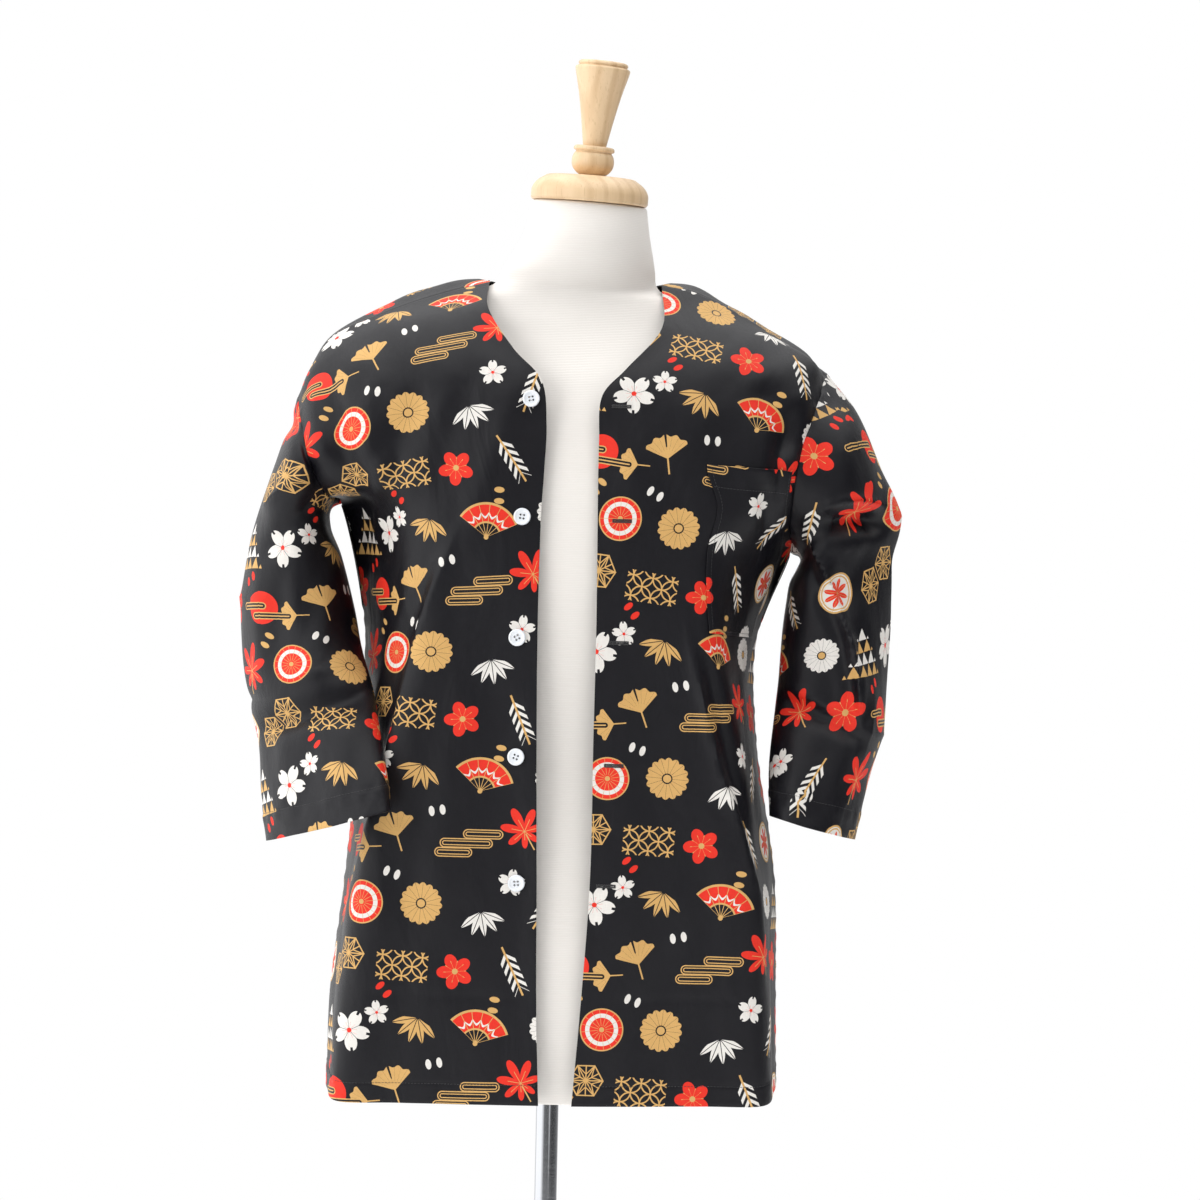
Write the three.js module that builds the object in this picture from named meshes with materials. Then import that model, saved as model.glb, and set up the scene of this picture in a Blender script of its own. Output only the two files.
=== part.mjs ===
// A collarless Japanese chef shirt with dropped shoulders and three-quarter sleeves, worn open on a
// limbless dress form that stands on a chromed pole. Millimetres, +Z up, the garment's front faces -Y,
// and +X is the wearer's left. The origin lies on the floor, on the axis of the pole.
import * as THREE from "three";

// ---- Driving dimensions -------------------------------------------------------------------------------
const CLOTH_WALL = 1.6; // one panel with its turned edges
const SEAM_GAP = 0.32; // between two panels at a seam, and under what is sewn on
const POCKET_WALL = 1.4;
const BUTTON_DIAMETER = 15;
const BUTTON_THICKNESS = 2.8;
const FORM_BOTTOM = 664; // underside of the torso above the floor
const POLE_DIAMETER = 20;
const BASE_DIAMETER = 320;
const BASE_HEIGHT = 14;
const NECK_TOP = new THREE.Vector3(20.5, -4, 1461.6); // centre of the torso's cut neck
const NECK_LEAN = new THREE.Euler(THREE.MathUtils.degToRad(3), THREE.MathUtils.degToRad(3.3), 0);
const FINIAL_LEAN = THREE.MathUtils.degToRad(1.8); // the handle leans this much more than the neck

// ---- Materials ----------------------------------------------------------------------------------------
const printedCotton = new THREE.MeshStandardMaterial({ color: 0x1c1b1e, roughness: 0.78, metalness: 0 });
const pearlyPlastic = new THREE.MeshStandardMaterial({ color: 0xdce4ee, roughness: 0.3, metalness: 0 });
const ivoryJersey = new THREE.MeshStandardMaterial({ color: 0xf0ebe5, roughness: 0.85, metalness: 0 });
const paleBirch = new THREE.MeshStandardMaterial({ color: 0xe0b985, roughness: 0.5, metalness: 0 });
const chrome = new THREE.MeshStandardMaterial({ color: 0xc9ccd0, roughness: 0.12, metalness: 1 });

// ---- Tables -------------------------------------------------------------------------------------------
// A table is a line of column names and rows of numbers; each row comes back as an object.
function table(columns, rows) {
  const names = columns.split(" ");
  return rows.map((row) => Object.fromEntries(names.map((name, i) => [name, row[i]])));
}

// Sections of each half of the body, from the hem up. The front runs from its edge (the opening, and then
// the neckline) over a flat stretch to a fold, and round to the side seam or, above the underarm, to the
// armhole. The back runs from the same side over the corner and the shoulder blade to the middle of the
// back.
const FRONT_COLUMNS = "edgeX edgeY edgeZ foldX foldY foldZ sideX sideY sideZ round";
const SECTION_COLUMNS = FRONT_COLUMNS + " cornerX cornerY cornerZ bladeX bladeY bladeZ backY backZ";
const BACK_X = table("x", [[2], [3], [4], [6], [8], [10], [11], [11], [12], [12], [12], [12]]);
const UNDERARM_ROW = 5; // below it the two panels meet at the side seam, above it they bound the armhole
const NAPE_ROW = 10; // the section that runs over the top of the shoulder
const POCKET_ROWS = [4, 7];
const rightHalf = table(SECTION_COLUMNS, [
  [-7, -104, 665, -184, -88, 664, -197, -14, 676, 0.8, -182, 66, 674, -100, 106, 670, 110, 668],
  [-10.5, -107, 752, -178, -92, 750, -196, -4, 754, 0.7, -176, 68, 753, -98, 105, 752, 109, 752],
  [-12.5, -111, 862, -164, -98, 860, -185, 2, 862, 0.6, -166, 68, 862, -92, 103, 862, 106, 862],
  [-15, -114, 988, -139, -104, 985, -176, 4, 988, 0.5, -160, 68, 988, -86, 101, 988, 103, 988],
  [-16, -116, 1082, -115, -108, 1080, -173, 6, 1082, 0.45, -160, 70, 1084, -84, 102, 1086, 103, 1086],
  [-15, -115, 1180, -112, -106, 1176, -196, 4, 1189, 0.55, -184, 66, 1184, -88, 104, 1182, 103, 1180],
  [-13, -112, 1222, -124, -104, 1214, -207, -48, 1196, 0.8, -186, 77, 1214, -92, 102, 1222, 101, 1225],
  [-12, -107, 1258, -134, -99, 1246, -221, -70, 1226, 0.9, -193, 83, 1252, -96, 100, 1262, 99, 1270],
  [-17, -101, 1297, -142, -92, 1283, -229, -52, 1256, 0.9, -202, 74, 1288, -98, 94, 1306, 95, 1315],
  [-42, -88, 1325, -152, -76, 1315, -233, -33, 1271, 0.9, -213, 48, 1304, -100, 74, 1348, 86, 1350],
  [-66, -60, 1362, -158, -48, 1342, -235, -16, 1281, 0.95, -214, 18, 1331, -100, 18, 1390, 75, 1376],
  [-67, -14, 1389, -163, -14, 1358, -236, 2, 1284, 1, -210, 2, 1334, -98, 2, 1381, 66, 1390],
]);
const leftHalf = table(SECTION_COLUMNS, [
  [21.7, -104, 665, 190, -86, 667, 203, -12, 680, 0.8, 188, 66, 676, 104, 106, 671, 110, 668],
  [28, -107, 752, 185, -90, 752, 202, -2, 756, 0.7, 184, 68, 754, 102, 105, 752, 109, 752],
  [34, -111, 862, 173, -96, 860, 199, 3, 862, 0.6, 180, 68, 862, 100, 103, 862, 106, 862],
  [34.5, -114, 988, 154, -101, 985, 180, 5, 988, 0.5, 170, 68, 988, 98, 101, 988, 103, 988],
  [35, -116, 1082, 133, -107, 1080, 179, 6, 1076, 0.45, 168, 70, 1080, 98, 102, 1084, 103, 1086],
  [34.4, -115, 1158, 130, -108, 1150, 207, 2, 1153, 0.55, 196, 66, 1158, 100, 104, 1172, 103, 1180],
  [34, -112, 1200, 138, -108, 1190, 204, -50, 1178, 0.8, 192, 79, 1202, 102, 102, 1216, 101, 1225],
  [34, -108, 1244, 128, -106, 1227, 208, -76, 1222, 0.9, 195, 85, 1246, 106, 100, 1260, 99, 1270],
  [36, -101, 1285, 150, -94, 1279, 221, -62, 1268, 0.9, 202, 78, 1290, 108, 94, 1306, 95, 1315],
  [56, -90, 1309, 160, -78, 1315, 229, -42, 1293, 0.9, 222, 52, 1310, 112, 74, 1348, 86, 1350],
  [87, -62, 1347, 168, -48, 1342, 233, -22, 1308, 0.95, 222, 22, 1330, 116, 22, 1390, 75, 1376],
  [87, -14, 1389, 172, -17, 1355, 235, -2, 1315, 1, 206, 2, 1334, 114, 2, 1384, 66, 1390],
]);

// The back stands up behind the shoulder seam: how far it bows over the shoulder, how far it rises at the
// foot of the neck, and where its neckline turns from the seam towards the middle.
const [rightNape, leftNape] = table("bow rise turnX turnY turnZ", [
  [8, 6, -63, 12, 1397],
  [0, 8, 85, 10, 1399],
]);

// The shoulder seam of each half, from the neck to the armhole. It is the last row of both panels.
const rightShoulder = table("x y z", [
  [-67, -14, 1389], [-98, -14, 1381], [-130, -14, 1371], [-163, -14, 1358], [-210, -8, 1334], [-236, 2, 1284],
]);
const leftShoulder = table("x y z", [
  [87, -14, 1389], [114, -15, 1384], [142, -16, 1372], [172, -17, 1355], [206, -12, 1334], [235, -2, 1315],
]);

// Rings of each sleeve below the armhole. out and in are the two edges seen from the front, front and
// back the depths, peak the place of the front ridge from the inner edge (0) to the outer (1), and tent
// how sharp it is.
const RING_COLUMNS = "outX outY outZ inX inY inZ front back peak tent";
const rightSleeveRings = table(RING_COLUMNS, [
  [-248, 2, 1245, -206, 2, 1182, 74, 74, 0.5, 2],
  [-262, 2, 1203, -206, 2, 1166, 66, 68, 0.5, 2],
  [-277, 1, 1147, -196, -1, 1143, 58, 60, 0.5, 1.9],
  [-283, -2, 1096, -182, -8, 1094, 54, 56, 0.5, 1.8],
  [-281, -8, 1056, -174, -26, 1060, 50, 54, 0.5, 1.8],
  [-273, -20, 1008, -161, -62, 1024, 44, 50, 0.55, 1.7],
  [-262, -34, 972, -152, -94, 986, 40, 42, 0.5, 1.9],
  [-258, -48, 930, -144, -120, 950, 36, 34, 0.5, 2],
  [-251, -62, 889, -140, -135, 921, 34, 30, 0.5, 2],
]);
const leftSleeveRings = table(RING_COLUMNS, [
  [264, 0, 1279, 217, 0, 1147, 74, 74, 0.5, 2],
  [286, 0, 1232, 214, 0, 1138, 68, 68, 0.45, 2],
  [304, -2, 1187, 208, -2, 1126, 58, 60, 0.3, 1.6],
  [299, -4, 1140, 205, -4, 1108, 54, 56, 0.35, 1.3],
  [298, -4, 1085, 202, -8, 1084, 54, 54, 0.6, 1.25],
  [296, -4, 1035, 199, -14, 1040, 52, 52, 0.74, 1.25],
  [292, -6, 992, 196, -24, 1012, 48, 50, 0.86, 1.3],
  [280, -14, 950, 191, -42, 962, 44, 46, 0.6, 1.8],
  [268, -22, 899, 192, -60, 920, 42, 42, 0.5, 2],
]);

// The largest folds: each runs from its top to its foot, seen from the front (face -1) or from behind
// (face 1), over its width, standing out (height above 0) or sunk in.
const FOLD_COLUMNS = "face topX topZ footX footZ width height";
const bodyFolds = table(FOLD_COLUMNS, [
  [-1, -120, 1290, -152, 1222, 16, -4],
  [-1, -60, 1130, -40, 700, 26, -3],
  [-1, 178, 1300, 204, 1238, 16, -5],
  [-1, 84, 1090, 104, 690, 28, -3],
  [1, -60, 1240, -84, 690, 24, -9],
  [1, 20, 1200, 28, 680, 30, 5],
  [1, 78, 1250, 108, 690, 22, -10],
  [1, -150, 1290, -120, 1130, 16, -5],
  [1, 168, 1300, 140, 1120, 16, -5],
]);
const rightSleeveFolds = table(FOLD_COLUMNS, [
  [-1, -160, 1022, -262, 986, 11, -5],
  [-1, -212, 1236, -266, 1184, 16, 4],
  [1, -165, 1030, -268, 1000, 12, -5],
  [1, -200, 1200, -262, 1120, 16, -4],
]);
const leftSleeveFolds = table(FOLD_COLUMNS, [
  [-1, 226, 1176, 292, 1184, 12, -9],
  [-1, 196, 1022, 272, 1000, 11, -5],
  [1, 214, 1150, 292, 1180, 12, -7],
  [1, 200, 1040, 284, 1012, 12, -5],
]);

// The torso of the form, ring by ring: its two sides, its depths, how much of the neck's lean it has, and
// its roundness (2 is an ellipse, less runs out to thin ends).
const torsoRings = table("z left right front back lean round", [
  [FORM_BOTTOM, -138, 144, 88, 84, 0, 2.2],
  [720, -152, 158, 94, 92, 0, 2.2],
  [800, -158, 166, 97, 97, 0, 2.2],
  [880, -150, 160, 95, 90, 0, 2.2],
  [960, -140, 152, 94, 80, 0, 2.2],
  [1040, -146, 160, 100, 82, 0, 2.2],
  [1110, -154, 170, 106, 88, 0, 2.2],
  [1170, -160, 178, 107, 93, 0, 2.2],
  [1225, -168, 187, 102, 94, 0, 2.2],
  [1270, -180, 196, 90, 88, 0, 2.1],
  [1300, -188, 202, 76, 76, 0, 2],
  [1322, -190, 200, 62, 64, 0, 1.9],
  [1340, -184, 186, 52, 56, 0, 1.75],
  [1354, -171, 172, 46, 52, 0, 1.65],
  [1366, -142, 154, 42, 50, 0, 1.6],
  [1375, -111, 127, 41, 45, 0, 1.6],
  [1383, -77, 85, 42, 40, 0, 1.7],
  [1390, -57, 71.5, 46, 41, 0, 1.9],
  [1401, -53, 77, 51, 49, 0.1, 2],
  [1415, -47, 79, 54, 52, 0.3, 2.1],
  [1436, -36, 75.5, 56, 50, 0.7, 2.1],
  [NECK_TOP.z, -31.5, 72.5, 52, 52, 1, 2],
]);

// ---- Curves and grids ---------------------------------------------------------------------------------
const vector = (x, y, z) => new THREE.Vector3(x, y, z);

// Points along a smooth curve through some points, with so many steps from each point to the next. The
// knots are the square roots of the distances, so uneven points make no loops or bulges.
function smooth(points, steps) {
  const end = points.length - 1;
  const spans = points.slice(1).map((p, i) => Math.sqrt(p.distanceTo(points[i])));
  const speeds = spans.map((span, i) => points[i + 1].clone().sub(points[i]).divideScalar(span));
  const tangents = points.map((_, i) => {
    if (i === 0) return speeds[0];
    if (i === end) return speeds[end - 1];
    const before = speeds[i - 1].clone().multiplyScalar(spans[i]);
    return before.addScaledVector(speeds[i], spans[i - 1]).divideScalar(spans[i - 1] + spans[i]);
  });
  const at = (i, t) => {
    const rise = t * t * (3 - 2 * t);
    const made = points[i].clone().multiplyScalar(1 - rise).addScaledVector(points[i + 1], rise);
    made.addScaledVector(tangents[i], spans[i] * t * (1 - t) ** 2);
    return made.addScaledVector(tangents[i + 1], spans[i] * t * t * (t - 1));
  };
  const made = [];
  for (let i = 0; i < end; i++) for (let k = 0; k < steps[i]; k++) made.push(at(i, k / steps[i]));
  return [...made, points[end].clone()];
}

// A grid through lines of points, smooth from line to line.
function smoothGrid(lines, up) {
  const columns = lines[0].map((_, j) => smooth(lines.map((line) => line[j]), up));
  return columns[0].map((_, i) => columns.map((column) => column[i]));
}

const lerp = THREE.MathUtils.lerp;
const sum = (numbers) => numbers.reduce((a, b) => a + b, 0);

// How far a fold moves a point in or out.
function foldHeight(point, fold) {
  const run = new THREE.Vector2(fold.footX - fold.topX, fold.footZ - fold.topZ);
  const from = new THREE.Vector2(point.x - fold.topX, point.z - fold.topZ);
  const along = from.dot(run) / run.lengthSq();
  const aside = from.cross(run) / run.length();
  const starts = THREE.MathUtils.smoothstep(along, -0.15, 0.3);
  const ends = 1 - THREE.MathUtils.smoothstep(along, 0.75, 1.15);
  return fold.height * starts * ends * Math.exp(-((aside / fold.width) ** 2));
}

// ---- The body's panels --------------------------------------------------------------------------------
const ACROSS_FRONT = [1, 2, 2, 2, 3]; // steps between the points of a front section
const ACROSS_SEAM = [...ACROSS_FRONT].reverse();
const ACROSS_NECK = [1, 2]; // from the neck point to the middle of the back
const UP_BODY = [2, 2, 2, 2, 2, 2, 2, 2, 1, 1, 2];
const FRONT_LAST = sum(ACROSS_FRONT);
const BACK_MIDDLE = FRONT_LAST + sum(ACROSS_NECK);
const UNDERARM = sum(UP_BODY.slice(0, UNDERARM_ROW));
const TOP = sum(UP_BODY);
const HALF_RING = TOP - UNDERARM;

// One section of a front: its edge, two points on the flat, the fold, the turn and the side.
function frontSection(s) {
  const edge = vector(s.edgeX, s.edgeY, s.edgeZ);
  const fold = vector(s.foldX, s.foldY, s.foldZ);
  const side = vector(s.sideX, s.sideY, s.sideZ);
  const turn = vector(
    lerp(fold.x, side.x, 0.35 + 0.5 * s.round),
    lerp(fold.y, side.y, 0.45),
    lerp(fold.z, side.z, 0.6),
  );
  const flat = (share) => edge.clone().lerp(fold, share).add(vector(0, -3, 0));
  return smooth([edge, flat(0.34), flat(0.68), fold, turn, side], ACROSS_FRONT);
}

// The armhole's back edge mirrors the front one about its middle, and is a little flatter.
const ARMHOLE_MIDDLE_Y = 4;
const armholeBack = (frontY) => ARMHOLE_MIDDLE_Y + 0.9 * (ARMHOLE_MIDDLE_Y - frontY);

// One section of the back: its side, the corner, over the shoulder blade, and to the middle.
function backSection(s, row, nape) {
  const { bow, rise } = row === NAPE_ROW ? nape : { bow: 0, rise: 0 };
  const sideY = row <= UNDERARM_ROW ? s.sideY : armholeBack(s.sideY);
  const side = vector(s.sideX, sideY, s.sideZ);
  const corner = vector(s.cornerX, s.cornerY, s.cornerZ);
  const blade = vector(s.bladeX, s.bladeY, s.bladeZ);
  const middle = vector(BACK_X[row].x, s.backY, s.backZ);
  const turn = (share) => corner.clone().lerp(blade, share).add(vector(0, 5, bow));
  const inner = blade.clone().lerp(middle, 0.16).add(vector(0, 0, rise));
  const nearMiddle = blade.clone().lerp(middle, 0.42).add(vector(0, 0, rise / 2));
  const points = [side, corner, turn(0.33), turn(0.68), blade, inner, nearMiddle, middle];
  return smooth(points, [...ACROSS_SEAM, ...ACROSS_NECK]);
}

// The top of the back: the shoulder seam, in from the armhole, and then the neckline to the middle.
function backTop(seam, last, nape) {
  const middle = vector(BACK_X[BACK_X.length - 1].x, last.backY, last.backZ);
  const turn = vector(nape.turnX, nape.turnY, nape.turnZ);
  const towards = (share, axis) => lerp(turn[axis], middle[axis], share);
  const behind = vector(towards(0.36, "x"), towards(0.7, "y"), towards(0.4, "z"));
  const seamLine = smooth([...seam].reverse(), ACROSS_SEAM);
  return [...seamLine, turn, behind, middle];
}

// Moves a grid's points along the normals of its faces by the folds on its side of the body.
function fold(grid, folds, sign, wrap = false) {
  const moves = grid.map((line, i) =>
    line.map((point, j) => {
      const normal = normalAt(grid, i, j, sign, () => undefined, wrap);
      const facing = (f) => THREE.MathUtils.clamp(f.face * normal.y * 1.5, 0, 1);
      return normal.multiplyScalar(sum(folds.map((f) => foldHeight(point, f) * facing(f))));
    }),
  );
  grid.forEach((line, i) => line.forEach((point, j) => point.add(moves[i][j])));
}

// The outward normal at a grid's point. sign is 1 where rows cross columns outwards, and beyond gives a
// point past the grid's edge where another panel carries the cloth on.
function normalAt(grid, i, j, sign, beyond = () => undefined, wrap = false) {
  const columns = grid[0].length;
  const at = (row, column) => {
    if (wrap) column = (column + columns) % columns;
    const inside = row >= 0 && row < grid.length && column >= 0 && column < columns;
    return (inside ? grid[row][column] : beyond(row, column)) ?? grid[i][j];
  };
  const up = at(i + 1, j).clone().sub(at(i - 1, j));
  const across = at(i, j + 1).clone().sub(at(i, j - 1));
  return up.cross(across).multiplyScalar(sign).normalize();
}

// A half of the body: its front, and its back from the side to the middle, as grids of points.
function bodyHalf(sections, shoulder, nape) {
  const seam = shoulder.map((p) => vector(p.x, p.y, p.z));
  const last = sections[sections.length - 1];
  const fronts = sections.map(frontSection);
  fronts[fronts.length - 1] = smooth(seam, ACROSS_FRONT);
  const backs = sections.map((s, row) => backSection(s, row, nape));
  backs[backs.length - 1] = backTop(seam, last, nape);
  return { front: smoothGrid(fronts, UP_BODY), back: smoothGrid(backs, UP_BODY) };
}

// ---- The sleeves --------------------------------------------------------------------------------------
const ALONG_SLEEVE = [2, 2, 2, 2, 2, 2, 1, 1, 2];

// Where a sleeve's ring stands out between its edges: a superellipse whose top lies at the peak.
function tentHeight(share, peak, power) {
  const reach = share < peak ? (peak - share) / peak : (share - peak) / (1 - peak);
  return Math.max(0, 1 - reach ** power) ** (1 / power);
}

// A ring runs from the outer edge over the front to the inner edge, and back behind.
function sleeveRing(r) {
  const ring = [];
  for (let k = 0; k < 2 * HALF_RING; k++) {
    const fromInner = (1 + Math.cos((k * Math.PI) / HALF_RING)) / 2;
    const front = k < HALF_RING;
    const frontDepth = r.front * tentHeight(fromInner, r.peak, r.tent);
    const depth = front ? -frontDepth : r.back * tentHeight(fromInner, 0.5, 2);
    const middle = vector(r.inX, r.inY, r.inZ).lerp(vector(r.outX, r.outY, r.outZ), fromInner);
    ring.push(middle.add(vector(0, depth, 0)));
  }
  return ring;
}

// The armhole, from the shoulder seam down the front to the underarm and up the back.
function armholeRing(half) {
  const ring = [];
  for (let i = TOP; i > UNDERARM; i--) ring.push(half.front[i][FRONT_LAST].clone());
  for (let i = UNDERARM; i < TOP; i++) ring.push(half.back[i][0].clone());
  return ring;
}

const sleeveGrid = (half, rings) => smoothGrid([armholeRing(half), ...rings.map(sleeveRing)], ALONG_SLEEVE);

// ---- Walls --------------------------------------------------------------------------------------------
function meshOf(name, positions, faces, material) {
  const geometry = new THREE.BufferGeometry();
  geometry.setAttribute("position", new THREE.Float32BufferAttribute(positions, 3));
  geometry.setIndex(faces);
  geometry.computeVertexNormals();
  const mesh = new THREE.Mesh(geometry, material);
  mesh.name = name;
  return mesh;
}

// A closed wall on a grid, from low to high along the grid's normals.
function wall(name, grid, normals, sign, low, high, wrap = false) {
  const rows = grid.length;
  const columns = grid[0].length;
  const layer = rows * columns;
  const positions = [];
  for (const height of [high, low]) {
    grid.forEach((line, i) =>
      line.forEach((p, j) => positions.push(...p.clone().addScaledVector(normals[i][j], height).toArray())),
    );
  }
  const faces = [];
  const quad = (a, b, c, d) => faces.push(...(sign > 0 ? [a, b, c, a, c, d] : [a, c, b, a, d, c]));
  const corner = (k) => vector(...positions.slice(3 * k, 3 * k + 3));
  // An edge of the wall is split along its shorter diagonal, as the edge that faces it over a seam is.
  const edge = (a, b, c, d) => {
    const shorter = corner(a).distanceTo(corner(c)) <= corner(b).distanceTo(corner(d));
    return shorter ? quad(a, b, c, d) : quad(b, c, d, a);
  };
  const id = (i, j) => i * columns + (j % columns);
  const lastColumn = wrap ? columns : columns - 1;
  for (let i = 0; i < rows - 1; i++) {
    for (let j = 0; j < lastColumn; j++) {
      const [a, b, c, d] = [id(i, j), id(i + 1, j), id(i + 1, j + 1), id(i, j + 1)];
      quad(a, b, c, d);
      quad(a + layer, d + layer, c + layer, b + layer);
    }
  }
  for (let j = 0; j < lastColumn; j++) {
    edge(id(0, j), id(0, j + 1), id(0, j + 1) + layer, id(0, j) + layer);
    edge(id(rows - 1, j + 1), id(rows - 1, j), id(rows - 1, j) + layer, id(rows - 1, j + 1) + layer);
  }
  for (let i = 0; i < rows - 1 && !wrap; i++) {
    edge(id(i + 1, 0), id(i, 0), id(i, 0) + layer, id(i + 1, 0) + layer);
    const j = columns - 1;
    edge(id(i, j), id(i + 1, j), id(i + 1, j) + layer, id(i, j) + layer);
  }
  return meshOf(name, positions, faces, printedCotton);
}

// Draws a seam's points back by half the gap, square to the seam, each towards its neighbour in the same
// panel. beyond holds the neighbours in the other panel: in a sharp crease both sides are drawn back
// further, so that the inner faces of the walls stay apart too.
function drawBack(points, neighbours, beyond, loop = false) {
  const count = points.length;
  const line = points.map((p) => p.clone());
  const at = (k) => line[loop ? (k + count) % count : THREE.MathUtils.clamp(k, 0, count - 1)];
  points.forEach((point, k) => {
    const along = at(k + 1).clone().sub(at(k - 1)).normalize();
    const squareTo = (neighbour) => {
      const reach = neighbour.clone().sub(line[k]);
      return reach.addScaledVector(along, -reach.dot(along));
    };
    const inwards = squareTo(neighbours[k]);
    const crease = inwards.angleTo(squareTo(beyond[k]));
    point.add(inwards.setLength(SEAM_GAP / 2 / Math.max(0.25, Math.sin(crease / 2))));
  });
}

// ---- The shirt ----------------------------------------------------------------------------------------
// Each half gives its front and its sleeve, and its share of the back.
function dressHalf(sections, shoulder, nape, rings, sleeveFolds, sign) {
  const half = bodyHalf(sections, shoulder, nape);
  fold(half.front, bodyFolds, sign);
  fold(half.back, bodyFolds, sign);
  for (let i = 0; i <= UNDERARM; i++) half.back[i][0].copy(half.front[i][FRONT_LAST]);
  for (let j = 0; j <= FRONT_LAST; j++) half.back[TOP][FRONT_LAST - j].copy(half.front[TOP][j]);
  const sleeve = sleeveGrid(half, rings);
  fold(sleeve.slice(1), sleeveFolds, sign, true);
  const { front, back } = half;

  const beyondSleeve = (i, k) => {
    if (i >= 0) return undefined;
    if (k === 0) return front[TOP][FRONT_LAST - 1];
    if (k < HALF_RING) return front[TOP - k][FRONT_LAST - 1];
    if (k === HALF_RING) return front[UNDERARM - 1][FRONT_LAST];
    return back[UNDERARM + k - HALF_RING][1];
  };
  const sleeveNormals = sleeve.map((line, i) =>
    line.map((_, k) => normalAt(sleeve, i, k, sign, beyondSleeve, true)),
  );
  const armhole = sleeveNormals[0];
  const beyondFront = (i, j) => {
    if (i > TOP) return back[TOP - 1][FRONT_LAST - j];
    return j > FRONT_LAST && i < UNDERARM ? back[i][1] : undefined;
  };
  const beyondBack = (i, j) => {
    if (i > TOP && j <= FRONT_LAST) return front[TOP - 1][FRONT_LAST - j];
    return j < 0 && i < UNDERARM ? front[i][FRONT_LAST - 1] : undefined;
  };
  const frontNormals = front.map((line, i) =>
    line.map((_, j) =>
      j === FRONT_LAST && i >= UNDERARM ? armhole[TOP - i] : normalAt(front, i, j, sign, beyondFront),
    ),
  );
  const backNormals = back.map((line, i) =>
    line.map((_, j) =>
      j === 0 && i >= UNDERARM
        ? armhole[i === TOP ? 0 : HALF_RING + i - UNDERARM]
        : normalAt(back, i, j, sign, beyondBack),
    ),
  );
  const normals = { front: frontNormals, back: backNormals, sleeve: sleeveNormals };
  return { front, back, sleeve, normals, sign };
}

// Opens the gap at every seam of a half: at the side, the shoulder and the armhole.
function openSeams({ front, back, sleeve }) {
  const copy = (grid) => grid.map((line) => line.map((p) => p.clone()));
  const [frontWas, backWas, sleeveWas] = [copy(front), copy(back), copy(sleeve)];
  const sideRows = front.slice(0, UNDERARM + 1).map((_, i) => i);
  const sideFront = sideRows.map((i) => frontWas[i][FRONT_LAST - 1]);
  const sideBack = sideRows.map((i) => backWas[i][1]);
  drawBack(sideRows.map((i) => front[i][FRONT_LAST]), sideFront, sideBack);
  drawBack(sideRows.map((i) => back[i][0]), sideBack, sideFront);

  const shoulderFront = frontWas[TOP - 1];
  const shoulderBack = backWas[TOP - 1].slice(0, FRONT_LAST + 1);
  drawBack(front[TOP], shoulderFront, [...shoulderBack].reverse());
  drawBack(back[TOP].slice(0, FRONT_LAST + 1), shoulderBack, [...shoulderFront].reverse());

  const armholeRows = front.map((_, i) => i).slice(UNDERARM);
  const besides = (grid, edge, inside) =>
    armholeRows.map((i) => (i === UNDERARM ? grid[i - 1][edge] : grid[i][inside]));
  const armholeFront = besides(frontWas, FRONT_LAST, FRONT_LAST - 1);
  const armholeBack = besides(backWas, 0, 1);
  const [sleeveFront, sleeveBack] = [[], []];
  armholeRows.forEach((i) => {
    sleeveFront.push(sleeveWas[1][TOP - i]);
    sleeveBack.push(sleeveWas[1][(HALF_RING + i - UNDERARM) % (2 * HALF_RING)]);
  });
  drawBack(armholeRows.map((i) => front[i][FRONT_LAST]), armholeFront, sleeveFront);
  drawBack(armholeRows.map((i) => back[i][0]), armholeBack, sleeveBack);
  const besideSleeve = [...[...armholeFront].reverse(), ...armholeBack.slice(1, -1)];
  drawBack(sleeve[0], sleeveWas[1], besideSleeve, true);
}

const right = dressHalf(rightHalf, rightShoulder, rightNape, rightSleeveRings, rightSleeveFolds, 1);
const left = dressHalf(leftHalf, leftShoulder, leftNape, leftSleeveRings, leftSleeveFolds, -1);
openSeams(right);
openSeams(left);

// The back is one panel, from the right side to the left.
const joinHalves = (one, other) => one.map((line, i) => [...line, ...[...other[i]].reverse().slice(1)]);
const backGrid = joinHalves(right.back, left.back);
const backNormals = joinHalves(right.normals.back, left.normals.back);
backNormals.forEach((line, i) => line[BACK_MIDDLE].add(left.normals.back[i][BACK_MIDDLE]).normalize());

const clothWall = (name, grid, normals, sign, wrap) => wall(name, grid, normals, sign, -CLOTH_WALL, 0, wrap);
const shirt = new THREE.Group();
shirt.add(
  clothWall("front_right", right.front, right.normals.front, right.sign),
  clothWall("front_left", left.front, left.normals.front, left.sign),
  clothWall("back", backGrid, backNormals, 1),
  clothWall("sleeve_right", right.sleeve, right.normals.sleeve, right.sign, true),
  clothWall("sleeve_left", left.sleeve, left.normals.sleeve, left.sign, true),
);

// The patch pocket lies on the left front, on the panel's own points between two rows and from the fold
// to near the side.
const POCKET_FIRST_COLUMN = sum(ACROSS_FRONT.slice(0, 3));
const POCKET_LAST_COLUMN = FRONT_LAST - 1;
function patchPocket() {
  const [bottom, top] = POCKET_ROWS.map((row) => sum(UP_BODY.slice(0, row)));
  const across = (line) => line.slice(POCKET_FIRST_COLUMN, POCKET_LAST_COLUMN + 1);
  const part = (grid) => grid.slice(bottom, top + 1).map(across);
  const high = SEAM_GAP + POCKET_WALL;
  return wall("pocket", part(left.front), part(left.normals.front), left.sign, SEAM_GAP, high);
}
shirt.add(patchPocket());

// ---- Buttons ------------------------------------------------------------------------------------------
const BUTTON_PLACES = table("x z", [
  [-26, 1281],
  [-31.5, 1178],
  [-33.5, 1073],
  [-32.5, 969],
  [-30, 859],
]);

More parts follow.
